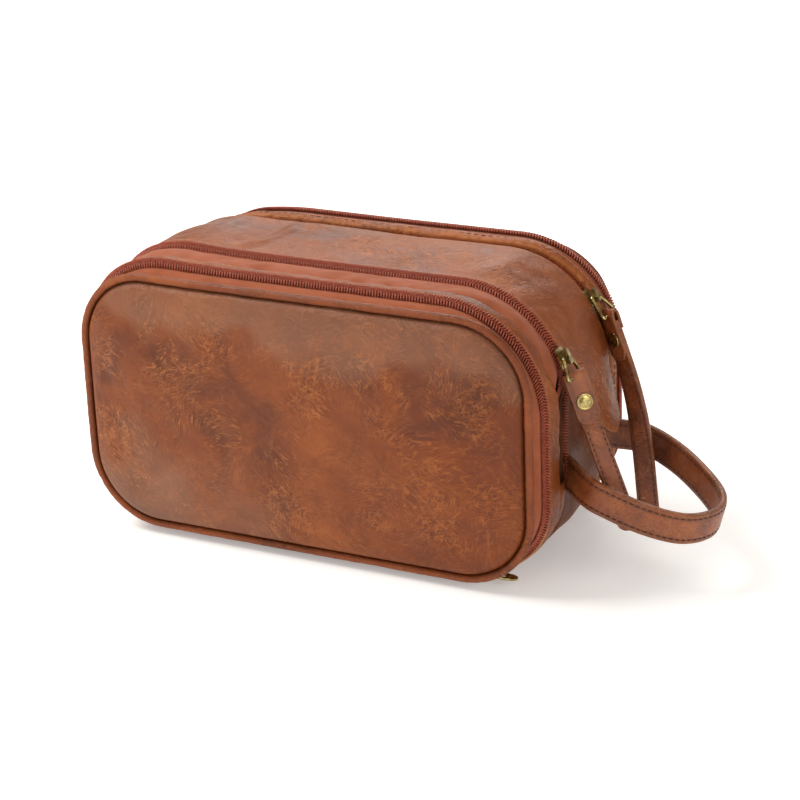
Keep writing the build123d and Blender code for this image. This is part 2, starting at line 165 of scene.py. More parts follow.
def warp(v):
    """Soft sag of the sewn body: the rear left corner slumps, and the rear cover tapers in behind its zip."""
    v = v.copy()
    x, y, z = v[:, 0].copy(), v[:, 1].copy(), v[:, 2].copy()
    wl = sstep(-45, -131, x)
    rear = sstep(24, 56, y)
    hi = sstep(55, 150, z)
    tap = sstep(53.5, 65, y)
    # the top left corner is puffed out between the front piping and the middle of the bag
    puff = np.exp(-((x + 114) ** 2 + (z - 136) ** 2) / (2 * 27.0 ** 2)) * (0.8 + 4.6 * sstep(-62, -47, y)) * (1 - sstep(-20, 24, y))
    v[:, 0] = x * (1 - 0.050 * tap) + wl * (0.9 + 2.0 * hi + 7.5 * rear * hi) - 0.75 * puff
    v[:, 2] = z + 0.65 * puff - wl * rear * hi * 6.5 - np.maximum(z - 75, 0) * 0.060 * tap - 0.6 * hi * (1 - np.abs(x) / 131).clip(0) * sstep(-60, 10, y)
    v[:, 1] = y - 2.0 * sstep(62, 70, y)
    return v


# ------------------------------------------------------------------ mesh building
COL = bpy.context.scene.collection


class Buf:
    """Collects vertices, faces, uv and per-vertex attributes of one piece."""

    def __init__(self):
        self.v, self.f, self.uv, self.n, self.at = [], [], [], 0, {"edge": [], "wear": []}

    def add(self, v, f, uv=None, edge=None, wear=None):
        v = np.asarray(v, float).reshape(-1, 3)
        self.v.append(v)
        self.f += [tuple(int(i) + self.n for i in q) for q in f]
        self.uv.append(np.zeros((len(v), 2)) if uv is None else np.asarray(uv, float).reshape(-1, 2))
        self.at["edge"].append(np.zeros(len(v)) if edge is None else np.asarray(edge, float).ravel())
        self.at["wear"].append(np.zeros(len(v)) if wear is None else np.asarray(wear, float).ravel())
        self.n += len(v)
        return self

    def grid(self, G, closed_s=False, closed_c=True, caps=True, uv=None, edge=None, wear=None, flip=False):
        """G is (ns, nc, 3). Quads along both; closed_c joins the last column to the first."""
        G = np.asarray(G, float)
        ns, nc = G.shape[:2]
        if uv is None:
            du = np.r_[0, np.cumsum(np.linalg.norm(np.diff(G.mean(1), axis=0), axis=1))]
            dv = np.r_[0, np.cumsum(np.linalg.norm(np.diff(G[ns // 2], axis=0), axis=1))]
            uv = np.stack(np.meshgrid(du, dv, indexing="ij"), -1)
        f = []
        for i in range(ns if closed_s else ns - 1):
            a, b = i * nc, ((i + 1) % ns) * nc
            for j in range(nc if closed_c else nc - 1):
                k = (j + 1) % nc
                q = (a + j, b + j, b + k, a + k)
                f.append(q[::-1] if flip else q)
        if closed_c and caps and not closed_s:
            c0 = tuple(range(nc)); c1 = tuple((ns - 1) * nc + j for j in range(nc))[::-1]
            f += [c0[::-1], c1[::-1]] if flip else [c0, c1]

        def ex(e):
            if e is None:
                return None
            e = np.asarray(e, float)
            return np.broadcast_to(e if e.ndim == 2 else e[None, :], (ns, nc))
        return self.add(G, f, uv, ex(edge), ex(wear))


def make(name, buf, mat, body=None, replaces=(), warped=True, smooth=True, angle=None):
    v = np.vstack(buf.v)
    if warped:
        v = warp(v)
    me = bpy.data.meshes.new(name)
    me.from_pydata((v * MM).tolist(), [], buf.f)
    uv = np.vstack(buf.uv)
    lay = me.uv_layers.new(name="UVMap")
    idx = np.zeros(len(me.loops), np.int32)
    me.loops.foreach_get("vertex_index", idx)
    lay.data.foreach_set("uv", uv[idx].astype(np.float32).ravel())
    for k in ("edge", "wear"):
        at = me.attributes.new(k, "FLOAT", "POINT")
        at.data.foreach_set("value", np.concatenate(buf.at[k]).astype(np.float32))
    me.materials.append(mat)
    me.update()
    me.validate()
    o = bpy.data.objects.new(name, me)
    COL.objects.link(o)
    import bmesh
    bm = bmesh.new(); bm.from_mesh(me)
    bmesh.ops.recalc_face_normals(bm, faces=bm.faces)
    bm.to_mesh(me); bm.free()
    if smooth:
        me.polygons.foreach_set("use_smooth", [True] * len(me.polygons))
        if angle:
            me.set_sharp_from_angle(angle=math.radians(angle))
    if body:
        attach(o, body)
    if replaces:
        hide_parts(*replaces)
    return o


def hoop_pts(path, s, y, r):
    """Points at arc length s (ns,) or (ns,nc), depth y and outward offset r."""
    s = np.asarray(s, float)
    if s.ndim == 1:
        s = s[:, None]
    s, y, r = np.broadcast_arrays(s, y, r)
    x, z, nx, nz = path.at(s)
    return np.stack([x + r * nx, y, z + r * nz], -1)


def shell(pts, t, n=18):
    """A closed cross-section from outer (y, r) points: the outer line, then the inner one t below it."""
    o = smooth_curve(pts, n)
    d = np.gradient(o, axis=0)
    nrm = np.stack([-d[:, 1], d[:, 0]], 1)
    nrm /= np.linalg.norm(nrm, axis=1)[:, None] + 1e-9
    if nrm[:, 1].mean() < 0:
        nrm = -nrm
    return o, o - nrm * t


def hoop(buf, path, s0, s1, prof, t=1.4, n=18, step=2.0, edge=(3.0, 3.0), noise=None, wear=None, dr=None, rag=None, skew=None):
    """Sweeps a padded leather strip round the outline. noise(P) adds outward offset in mm, rag shifts its y."""
    closed = s0 is None
    if closed:
        ns = int(path.L / step)
        s = np.linspace(0, path.L, ns, endpoint=False)
    else:
        ns = max(4, int((s1 - s0) / step))
        s = np.linspace(s0, s1, ns)
    o, i = shell(prof, t, n)
    sec = np.vstack([o, i[::-1]])
    y = np.broadcast_to(sec[:, 0], (ns, 2 * n)).copy()
    r = np.broadcast_to(sec[:, 1], (ns, 2 * n)).copy()
    S = np.broadcast_to(s[:, None], y.shape)
    if skew is not None:
        S = skew(S, y)
    if noise is not None or dr is not None:
        base = hoop_pts(path, S, y, r)
        w = np.sin(np.linspace(0, PI, n)) ** 0.6
        w = np.r_[w, w[::-1]]
        if noise is not None:
            r = r + noise(base) * w
        if dr is not None:
            r = r + dr(S, y, base)
    if rag is not None:
        y = y + rag(S, y)
    G = hoop_pts(path, S, y, r)
    arc = np.r_[0, np.cumsum(np.linalg.norm(np.diff(o, axis=0), axis=1))]
    e = np.maximum(1 - arc / max(edge[0], 1e-3), 1 - (arc[-1] - arc) / max(edge[1], 1e-3)).clip(0, 1)
    e = np.r_[e, e[::-1]]
    uv = np.stack([S, np.broadcast_to(np.r_[arc, arc[::-1] + arc[-1] + t], S.shape)], -1)
    wv = None
    if wear is not None:
        wv = wear(S, y, G) * np.ones_like(S)
    buf.grid(G, closed_s=closed, closed_c=True, uv=uv, edge=e, wear=wv)
    return buf


def tube(buf, P, rad, n=10, closed=False, flat=1.0, up=None, edge=0.0, wear=0.0, caps=True):
    """A round tube along the polyline P (ns,3), with rounded ends when open."""
    P = np.asarray(P, float)
    rad = np.broadcast_to(np.asarray(rad, float), (len(P),)).copy()
    if closed:
        T = np.roll(P, -1, 0) - np.roll(P, 1, 0)
    else:
        T = np.gradient(P, axis=0)
    T /= np.linalg.norm(T, axis=1)[:, None] + 1e-12
    if not closed and caps:
        m = 4
        a = np.linspace(0, PI / 2, m + 1)[:-1]
        P0s = P[0] - T[0] * rad[0] * np.cos(a)[:, None]
        P1s = (P[-1] + T[-1] * rad[-1] * np.cos(a)[:, None])[::-1]
        R0 = rad[0] * np.sin(a).clip(0.05, 1)
        R1 = (rad[-1] * np.sin(a).clip(0.05, 1))[::-1]
        P = np.vstack([P0s, P, P1s]); T = np.vstack([np.repeat(T[:1], m, 0), T, np.repeat(T[-1:], m, 0)])
        rad = np.r_[R0, rad, R1]
    up = np.array([0, 1.0, 0]) if up is None else np.asarray(up, float)
    A = np.cross(T, up); bad = np.linalg.norm(A, axis=1) < 1e-3
    A[bad] = np.cross(T[bad], [0.3, 0.1, 1.0])
    A /= np.linalg.norm(A, axis=1)[:, None]
    B = np.cross(T, A)
    th = np.linspace(0, 2 * PI, n, endpoint=False)
    G = P[:, None] + rad[:, None, None] * (np.cos(th)[None, :, None] * A[:, None] + flat * np.sin(th)[None, :, None] * B[:, None])
    buf.grid(G, closed_s=closed, closed_c=True, edge=np.full(n, edge), wear=np.full(n, wear))
    return buf


def capsules(buf, C, D, U, L, w, h, sides=6, edge=0.0, wear=0.0):
    """Many small rounded bars: centres C, long directions D, outward directions U, length L, half width w, half height h."""
    C, D, U = (np.asarray(a, float) for a in (C, D, U))
    D = D / np.linalg.norm(D, axis=1)[:, None]
    S = np.cross(D, U); S /= np.linalg.norm(S, axis=1)[:, None]
    U = np.cross(S, D)
    t = np.array([-1, -0.82, 0, 0.82, 1]); r = np.array([0.0, 0.78, 1, 0.78, 0.0])
    th = np.linspace(0, 2 * PI, sides, endpoint=False)
    loc = [(-1, 0, 0)] + [(t[k], r[k] * math.cos(a), r[k] * math.sin(a)) for k in (1, 2, 3) for a in th] + [(1, 0, 0)]
    loc = np.array(loc)
    V = C[:, None] + D[:, None] * loc[None, :, :1] * (L / 2) + S[:, None] * loc[None, :, 1:2] * w + U[:, None] * loc[None, :, 2:] * h
    m = sides
    F = [(0, 1 + (j + 1) % m, 1 + j) for j in range(m)]
    for k in (0, 1):
        F += [(1 + k * m + j, 1 + k * m + (j + 1) % m, 1 + (k + 1) * m + (j + 1) % m, 1 + (k + 1) * m + j) for j in range(m)]
    e = 1 + 3 * m
    F += [(1 + 2 * m + j, 1 + 2 * m + (j + 1) % m, e) for j in range(m)]
    F0 = [np.array(q) for q in F]
    nv = len(loc)
    faces = [tuple(q + i * nv) for i in range(len(C)) for q in F0]
    buf.add(V.reshape(-1, 3), faces, None, np.full(len(C) * nv, edge), np.full(len(C) * nv, wear))
    return buf


def stitch_row(buf, P, U, pitch=3.0, length=2.3, rad=0.34, lift=0.12):
    """Thread stitches along the polyline P with outward directions U."""
    P = np.asarray(P, float); U = np.broadcast_to(np.asarray(U, float), P.shape)
    l = np.r_[0, np.cumsum(np.linalg.norm(np.diff(P, axis=0), axis=1))]
    n = max(1, int(l[-1] / pitch))
    u = (np.arange(n) + 0.5) * l[-1] / n

    def at(A, q):
        return np.stack([np.interp(q, l, A[:, i]) for i in range(3)], 1)
    C = at(P, u) + at(U, u) * lift
    D = at(P, u + 0.4) - at(P, u - 0.4)
    capsules(buf, C, D, at(U, u), length, rad, rad * 0.8)
    return buf


# ------------------------------------------------------------------ materials
def srgb(r, g, b):
    def c(v):
        v /= 255.0
        return v / 12.92 if v <= 0.04045 else ((v + 0.055) / 1.055) ** 2.4
    return (c(r), c(g), c(b), 1.0)


class NT:
    def __init__(self, name):
        self.m = bpy.data.materials.new(name)
        self.m.use_nodes = True
        self.t = self.m.node_tree
        self.t.nodes.clear()
        self.out = self.t.nodes.new("ShaderNodeOutputMaterial")
        self.p = self.t.nodes.new("ShaderNodeBsdfPrincipled")
        self.t.links.new(self.p.outputs[0], self.out.inputs[0])
        tc = self.t.nodes.new("ShaderNodeTexCoord")
        sc = self.t.nodes.new("ShaderNodeVectorMath"); sc.operation = "SCALE"; sc.inputs[3].default_value = 1000.0
        self.t.links.new(tc.outputs["Object"], sc.inputs[0])
        self.mm = sc.outputs[0]
        self.uv = tc.outputs["UV"]

    def put(self, sock, v):
        if v is None:
            return
        if isinstance(v, bpy.types.NodeSocket):
            self.t.links.new(v, sock)
        else:
            sock.default_value = v

    def noise(self, scale, detail=4.0, rough=0.55, vec=None, dist=0.0):
        n = self.t.nodes.new("ShaderNodeTexNoise")
        self.put(n.inputs["Vector"], vec or self.mm)
        n.inputs["Scale"].default_value = scale
        n.inputs["Detail"].default_value = detail
        n.inputs["Roughness"].default_value = rough
        n.inputs["Distortion"].default_value = dist
        return n.outputs["Fac"]

    def noisec(self, scale, detail=2.0, vec=None):
        n = self.t.nodes.new("ShaderNodeTexNoise")
        self.put(n.inputs["Vector"], vec or self.mm)
        n.inputs["Scale"].default_value = scale
        n.inputs["Detail"].default_value = detail
        return n.outputs["Color"]

    def voronoi(self, scale, vec=None, feature="F1", rnd=1.0):
        n = self.t.nodes.new("ShaderNodeTexVoronoi")
        n.feature = feature
        self.put(n.inputs["Vector"], vec or self.mm)
        n.inputs["Scale"].default_value = scale
        n.inputs["Randomness"].default_value = rnd
        return n.outputs["Distance"]

    def math(self, op, a, b=None, c=None, clamp=False):
        n = self.t.nodes.new("ShaderNodeMath"); n.operation = op; n.use_clamp = clamp
        self.put(n.inputs[0], a); self.put(n.inputs[1], b)
        if c is not None:
            self.put(n.inputs[2], c)
        return n.outputs[0]

    def vmath(self, op, a, b=None, s=None):
        n = self.t.nodes.new("ShaderNodeVectorMath"); n.operation = op
        self.put(n.inputs[0], a)
        if b is not None:
            self.put(n.inputs[1], b)
        if s is not None:
            self.put(n.inputs[3], s)
        return n.outputs[0]

    def range(self, v, a, b, c=0.0, d=1.0, smooth=True):
        n = self.t.nodes.new("ShaderNodeMapRange")
        n.interpolation_type = "SMOOTHSTEP" if smooth else "LINEAR"
        self.put(n.inputs[0], v)
        for i, x in enumerate((a, b, c, d)):
            n.inputs[i + 1].default_value = x
        return n.outputs[0]

    def mix(self, f, a, b, mode="MIX"):
        n = self.t.nodes.new("ShaderNodeMix"); n.data_type = "RGBA"; n.blend_type = mode
        self.put(n.inputs[0], f); self.put(n.inputs[6], a); self.put(n.inputs[7], b)
        return n.outputs[2]

    def attr(self, name):
        n = self.t.nodes.new("ShaderNodeAttribute"); n.attribute_name = name
        return n.outputs["Fac"]

    def dot(self, a, b):
        n = self.t.nodes.new("ShaderNodeVectorMath"); n.operation = "DOT_PRODUCT"
        self.put(n.inputs[0], a); self.put(n.inputs[1], b)
        return n.outputs["Value"]

    def sep(self, v):
        n = self.t.nodes.new("ShaderNodeSeparateXYZ"); self.put(n.inputs[0], v)
        return n.outputs

    def comb(self, x, y, z=0.0):
        n = self.t.nodes.new("ShaderNodeCombineXYZ")
        self.put(n.inputs[0], x); self.put(n.inputs[1], y); self.put(n.inputs[2], z)
        return n.outputs[0]

    def bump(self, h, dist, strength=1.0, normal=None):
        n = self.t.nodes.new("ShaderNodeBump")
        n.inputs["Strength"].default_value = strength
        n.inputs["Distance"].default_value = dist
        self.put(n.inputs["Height"], h)
        if normal is not None:
            self.put(n.inputs["Normal"], normal)
        return n.outputs[0]

    def done(self, color=None, rough=None, normal=None, **kw):
        self.put(self.p.inputs["Base Color"], color)
        self.put(self.p.inputs["Roughness"], rough)
        self.put(self.p.inputs["Normal"], normal)
        for k, v in kw.items():
            self.put(self.p.inputs[k], v)
        return self.m


def leather(name, dark, mid, light, vein, fine=1.0, mot=1.0, rough=(0.40, 0.60), spec=0.32, veins=0.5, coat=0.04, shift=(0, 0, 0), edge_dark=0.6, bump=1.0, swirl=1.0, cover=(0.42, 0.56), painted_sheen_and_shade=None):
    n = NT(name)
    v = n.vmath("ADD", n.mm, shift)
    cen = n.vmath("SUBTRACT", n.noisec(0.026 * mot, 1.0, v), (0.5, 0.5, 0.5))
    cen2 = n.vmath("SUBTRACT", n.noisec(0.15 * fine, 1.0, v), (0.5, 0.5, 0.5))
    wv = n.vmath("ADD", n.vmath("ADD", v, n.vmath("SCALE", cen, s=46.0 * swirl)), n.vmath("SCALE", cen2, s=5.0))
    big = n.noise(0.013 * mot, 3.0, 0.5, v, 0.4)
    mid_n = n.noise(0.040 * mot, 5.0, 0.58, v, 0.6)
    small = n.noise(0.30 * fine, 5.0, 0.65, v)
    a = n.math("ADD", n.math("MULTIPLY", big, 0.5), n.math("MULTIPLY", mid_n, 0.5))
    c = n.mix(n.range(a, 0.34, 0.54), dark, mid)
    c = n.mix(n.range(a, 0.50, 0.70), c, light)
    c = n.mix(n.range(small, 0.42, 0.75, 0.0, 0.22), c, dark)
    # fine wrinkles: short nearly parallel pale creases, each patch with its own direction
    bend = n.vmath("ADD", n.vmath("ADD", v, n.vmath("SCALE", cen, s=14.0 * swirl)), n.vmath("SCALE", cen2, s=1.8))
    lines = trough = None
    for k_, (ang, off) in enumerate(((18.0, (3.0, 11.0, 7.0)), (-38.0, (61.0, 23.0, 5.0)), (74.0, (29.0, 71.0, 53.0)))):
        ca_, sa_ = math.cos(math.radians(ang)), math.sin(math.radians(ang))
        al = (ca_ * 0.12 * fine, sa_ * 0.11 * fine, sa_ * 0.12 * fine)
        ac = (-sa_ * 0.46 * fine, ca_ * 0.46 * fine, ca_ * 0.46 * fine)
        w_ = n.comb(n.dot(bend, al), n.dot(bend, ac), n.dot(bend, (0.03, 0.05, -0.03)))
        f_ = n.noise(1.0, 1.5, 0.5, n.vmath("ADD", w_, off), 0.35)
        rg = n.math("ABSOLUTE", n.math("SUBTRACT", f_, 0.5))
        ln = n.range(rg, 0.0, 0.050, 1.0, 0.0)
        tr = n.range(f_, 0.54, 0.70)
        pk = n.range(n.noise(0.034 * mot, 1.5, 0.5, n.vmath("ADD", v, off), 0.4), 0.39 + 0.02 * k_, 0.58 + 0.02 * k_)
        ln = n.math("MULTIPLY", ln, pk); tr = n.math("MULTIPLY", tr, pk)
        lines = ln if lines is None else n.math("MAXIMUM", lines, ln)
        trough = tr if trough is None else n.math("MAXIMUM", trough, tr)
    patch = n.range(n.noise(0.021 * mot, 3.0, 0.55, n.vmath("ADD", v, (91.0, 17.0, 43.0)), 0.5), cover[0], cover[1], 0.32, 1.0)
    brk = n.range(n.noise(0.22, 2.0, 0.5, v), 0.30, 0.60, 0.25, 1.0)
    lines = n.math("MULTIPLY", lines, n.math("MULTIPLY", patch, brk))
    trough = n.math("MULTIPLY", trough, patch)
    c = n.mix(n.math("MULTIPLY", trough, 0.55 * veins, clamp=True), c, tuple(x * 0.55 for x in dark[:3]) + (1.0,))
    c = n.mix(n.math("MULTIPLY", lines, veins, clamp=True), c, vein)
    if painted_sheen_and_shade is not None:                 # painted light: the colour is darkened and warmed towards +X as painted shade, and turned greyish tan at the lower left and along the top as a painted sheen
        x_, y_, z_ = n.sep(n.vmath("ADD", n.mm, n.vmath("SCALE", cen, s=90.0)))[:3]
        c = n.mix(n.range(x_, 10.0, 112.0, 0.0, painted_sheen_and_shade[0]), c, (0.82, 0.70, 0.48, 1.0), "MULTIPLY")
        # painted sheen mask: the lower left of the panel, plus a band along the top
        painted_sheen_mask = n.math("MULTIPLY", n.range(x_, 10.0, -100.0), n.range(z_, 62.0, 26.0))
        painted_sheen_mask = n.math("MAXIMUM", painted_sheen_mask, n.math("MULTIPLY", n.range(z_, 112.0, 132.0), 0.75))
        c = n.mix(n.math("MULTIPLY", painted_sheen_mask, painted_sheen_and_shade[1]), c, (0.30, 0.155, 0.095, 1.0))
    # worn pale folds; darkening from the 'edge' attribute: burnished dark seams, and painted shade where the panel,
    # piping and strap pieces set it in grooves and on rolled edges
    wear = n.math("MULTIPLY", n.attr("wear"), n.range(n.noise(0.35, 4.0, 0.6, v), 0.30, 0.62), clamp=True)
    c = n.mix(wear, c, vein)
    e = n.math("MULTIPLY", n.attr("edge"), n.range(n.noise(0.12, 4.0, 0.6, v), 0.2, 0.75, 0.55, 1.0), clamp=True)
    c = n.mix(n.math("MULTIPLY", e, edge_dark), c, tuple(x * 0.42 for x in dark[:3]) + (1.0,))
    # relief: creases, crackle, pores
    crease = n.noise(0.075, 5.0, 0.6, wv, 0.8)
    grain = n.voronoi(0.95 * fine, wv)
    pore = n.noise(2.2, 3.0, 0.6, v)
    b = n.bump(crease, 0.0020, 0.40 * bump)
    b = n.bump(n.math("SUBTRACT", lines, n.math("MULTIPLY", trough, 0.7)), 0.00032, 0.6 * bump, b)
    b = n.bump(n.math("ADD", n.math("MULTIPLY", grain, 0.7), n.math("MULTIPLY", pore, 0.6)), 0.00026, 0.5 * bump, b)
    r = n.range(n.math("ADD", n.math("MULTIPLY", mid_n, 0.6), n.math("MULTIPLY", small, 0.4)), 0.3, 0.7, rough[0], rough[1])
    n.p.inputs["Coat Weight"].default_value = coat
    n.p.inputs["Coat Roughness"].default_value = 0.36
    return n.done(c, r, b, **{"Specular IOR Level": spec})


def cloth(name, base, alt, scale=0.9, rough=0.85, contrast=0.5, sheen=0.25, bump=0.00016, rib=False):
    """Woven cloth from the piece's own millimetre UV, with its mottling from object space."""
    n = NT(name)
    u = n.sep(n.uv)
    k = 2 * PI / scale
    a = n.math("SINE", n.math("MULTIPLY", u[0], k))
    b = n.math("SINE", n.math("MULTIPLY", u[1], k * (0.55 if rib else 1.0)))
    w = n.math("ADD", n.math("MULTIPLY", n.math("MULTIPLY", a, b), 0.5), 0.5) if not rib else n.math("ADD", n.math("MULTIPLY", a, 0.42), 0.5)
    v = n.noise(0.11, 4.0, 0.6)
    f = n.noise(1.6, 2.0, 0.5)
    c = n.mix(n.math("MULTIPLY", w, contrast), base, alt)
    c = n.mix(n.range(v, 0.35, 0.7, 0.0, 0.35), c, tuple(x * 0.62 for x in base[:3]) + (1.0,))
    c = n.mix(n.math("MULTIPLY", n.attr("edge"), 0.5), c, tuple(x * 0.45 for x in base[:3]) + (1.0,))
    h = n.math("ADD", w, n.math("MULTIPLY", f, 0.5))
    r = n.range(v, 0.3, 0.7, rough - 0.08, rough + 0.06)
    n.p.inputs["Sheen Weight"].default_value = sheen
    n.p.inputs["Sheen Roughness"].default_value = 0.4
    return n.done(c, r, n.bump(h, bump, 0.7), **{"Specular IOR Level": 0.3})


def metal(name, hi, lo, rough=(0.22, 0.42)):
    n = NT(name)
    v = n.noise(0.25, 5.0, 0.65)
    f = n.noise(1.9, 4.0, 0.6)
    geo = n.t.nodes.new("ShaderNodeNewGeometry")
    cav = n.range(geo.outputs["Pointiness"], 0.44, 0.53)
    k = n.math("MULTIPLY", n.range(v, 0.34, 0.62), n.range(cav, 0.0, 1.0, 0.35, 1.0))
    c = n.mix(k, lo, hi)
    st = n.t.nodes.new("ShaderNodeVectorMath"); st.operation = "MULTIPLY"
    n.t.links.new(n.mm, st.inputs[0]); st.inputs[1].default_value = (0.4, 6.0, 0.4)
    scr = n.noise(1.0, 3.0, 0.5, st.outputs[0])
    r = n.range(n.math("ADD", n.math("MULTIPLY", f, 0.5), n.math("MULTIPLY", scr, 0.5)), 0.3, 0.7, rough[0], rough[1])
    b = n.bump(n.math("ADD", f, n.math("MULTIPLY", scr, 0.5)), 0.00003, 0.2)
    return n.done(c, r, b, Metallic=1.0)


def plastic(name, base, lo, rough=0.35, coat=0.2, sc=0.5):
    n = NT(name)
    v = n.noise(sc, 4.0, 0.6)
    f = n.noise(2.4, 2.0, 0.5)
    c = n.mix(n.range(v, 0.3, 0.7), lo, base)
    n.p.inputs["Coat Weight"].default_value = coat
    n.p.inputs["Coat Roughness"].default_value = 0.25
    return n.done(c, n.range(f, 0.3, 0.7, rough - 0.08, rough + 0.12), n.bump(f, 0.00005, 0.5))


# the two panel leathers carry painted shade towards +X and a painted sheen at the lower left and along the top
L_PANEL = leather("leather_panel", srgb(92, 42, 16), srgb(122, 60, 24), srgb(146, 78, 34), srgb(184, 114, 60), rough=(0.36, 0.54), veins=0.56, spec=0.26, coat=0.0, painted_sheen_and_shade=(0.9, 0.45), edge_dark=0.9)
L_REAR = leather("leather_rear_panel", srgb(92, 42, 16), srgb(122, 60, 24), srgb(146, 78, 34), srgb(184, 114, 60), shift=(370.0, 90.0, 210.0), rough=(0.36, 0.54), veins=0.56, spec=0.26, coat=0.0, painted_sheen_and_shade=(0.5, 0.3), edge_dark=0.9)
L_TOP = leather("leather_gusset", srgb(92, 42, 15), srgb(123, 60, 22), srgb(145, 77, 31), srgb(182, 112, 58), shift=(50.0, 200.0, 10.0), rough=(0.38, 0.56), edge_dark=0.5, coat=0.0, spec=0.25, veins=0.6)
L_PIPE = leather("leather_piping", srgb(88, 40, 15), srgb(126, 60, 24), srgb(152, 80, 34), srgb(180, 108, 56), fine=1.3, shift=(10.0, 50.0, 90.0), rough=(0.38, 0.54), veins=0.3, edge_dark=0.7, spec=0.28, coat=0.0)
# a darker copy of the leather, painted shade: used for the recessed lower wall and the hinge folds underneath
L_SHADED_SIDE = leather("leather_side_painted_shade", srgb(70, 34, 14), srgb(100, 50, 22), srgb(122, 68, 32), srgb(142, 86, 46), shift=(80.0, 10.0, 30.0), rough=(0.44, 0.60), veins=0.25, coat=0.0, spec=0.16)
L_STRAP = leather("leather_strap", srgb(96, 44, 20), srgb(132, 68, 32), srgb(158, 88, 44), srgb(186, 118, 70), fine=1.5, mot=2.2, shift=(5.0, 33.0, 77.0), rough=(0.30, 0.46), veins=0.35, edge_dark=0.7, spec=0.48, coat=0.0)
L_EDGE = leather("leather_fold_edge", srgb(116, 62, 30), srgb(150, 88, 46), srgb(176, 112, 62), srgb(198, 140, 88), fine=1.5, mot=3.0, shift=(1.0, 3.0, 7.0), rough=(0.45, 0.62), veins=0.3, edge_dark=0.3)
TAPE = cloth("zip_tape", srgb(144, 72, 40), srgb(164, 90, 54), 0.75, 0.8, 0.6, 0.12)
COIL = plastic("zip_coil", srgb(168, 84, 60), srgb(120, 52, 36), 0.46, 0.0, 0.8)
COIL.node_tree.nodes["Principled BSDF"].inputs["Specular IOR Level"].default_value = 0.22
THREAD = cloth("thread", srgb(66, 34, 20), srgb(96, 54, 34), 0.5, 0.7, 0.6)
THREAD_TAN = cloth("thread_tan", srgb(120, 66, 34), srgb(160, 100, 58), 0.5, 0.7, 0.6)
LINING = cloth("lining_cloth", srgb(70, 52, 40), srgb(98, 76, 60), 0.9, 0.82, 0.7, 0.35, 0.0001)
MESH = cloth("mesh_cloth", srgb(44, 34, 28), srgb(70, 56, 46), 0.6, 0.7, 0.6)
ELAST = cloth("elastic_web", srgb(38, 30, 26), srgb(66, 54, 46), 1.1, 0.8, 0.9, 0.2, 0.0002, rib=True)
FOAM = cloth("foam_pad", srgb(205, 200, 186), srgb(225, 220, 208), 1.3, 0.95, 0.5, 0.0, 0.0003)
BOARD = plastic("stiff_board", srgb(70, 62, 54), srgb(52, 46, 40), 0.55, 0.0, 0.3)
BRASS = metal("antique_brass", srgb(188, 172, 122), srgb(112, 96, 62))
BRASS_HI = metal("antique_brass_bright", srgb(186, 168, 112), srgb(112, 96, 56), (0.18, 0.36))

for nme in NODES:
    o = NODES[nme]
    o.data.materials.clear()
    o.data.materials.append(BRASS)
    o.data.polygons.foreach_set("use_smooth", [True] * len(o.data.polygons))
    o.data.set_sharp_from_angle(angle=math.radians(32))


# ------------------------------------------------------------------ zips
def teeth(buf, path, s0, s1, y0, side, pitch=1.55, r0=0.55, phase=0.0, fy=None, fr=None, tilt=0.0):
    """One half of a nylon coil. side -1 is the front half (towards -Y), +1 the rear half."""
    n = int((s1 - s0) / pitch)
    s = s0 + (np.arange(n) + phase) * pitch
    yy = np.full(n, y0) + (fy(s) if fy is not None else 0)
    rr = np.full(n, r0 + tilt * side * 1.45) + (fr(s) if fr is not None else 0)
    x, z, nx, nz = path.at(s)
    C = np.stack([x + rr * nx, yy, z + rr * nz], 1)
    T = np.stack([-nz, 0 * nx, nx], 1)
    U = np.stack([nx, 0 * nx, nz], 1)
    D = (np.array([0, 1.0, 0])[None] + U * tilt) * side * -1 + T * 0.42
    U = U - np.array([0, 1.0, 0]) * tilt
    capsules(buf, C, D, U, 4.0, 0.52, 0.84)
    return buf


def tape_strip(buf, path, s0, s1, pts, t=0.7, n=8, **kw):
    return hoop(buf, path, s0, s1, pts, t=t, n=n, edge=(1.2, 1.2), **kw)


S8A, S8B = 82.0, P8.L - 82.0       # the cover zips run round to the underside and stop there
S0A, S0B = P0.s_side(49.0), P0.L - P0.s_side(49.0)


def pipe_r(S):
    """Outward offset of the piping line from the cover outline (it drops a little under the bottom edge)."""
    a = np.minimum(S, P8.L - S)
    return -4.6 + 6.6 * sstep(P8.c[2] + 4, P8.c[1] - 6, a)


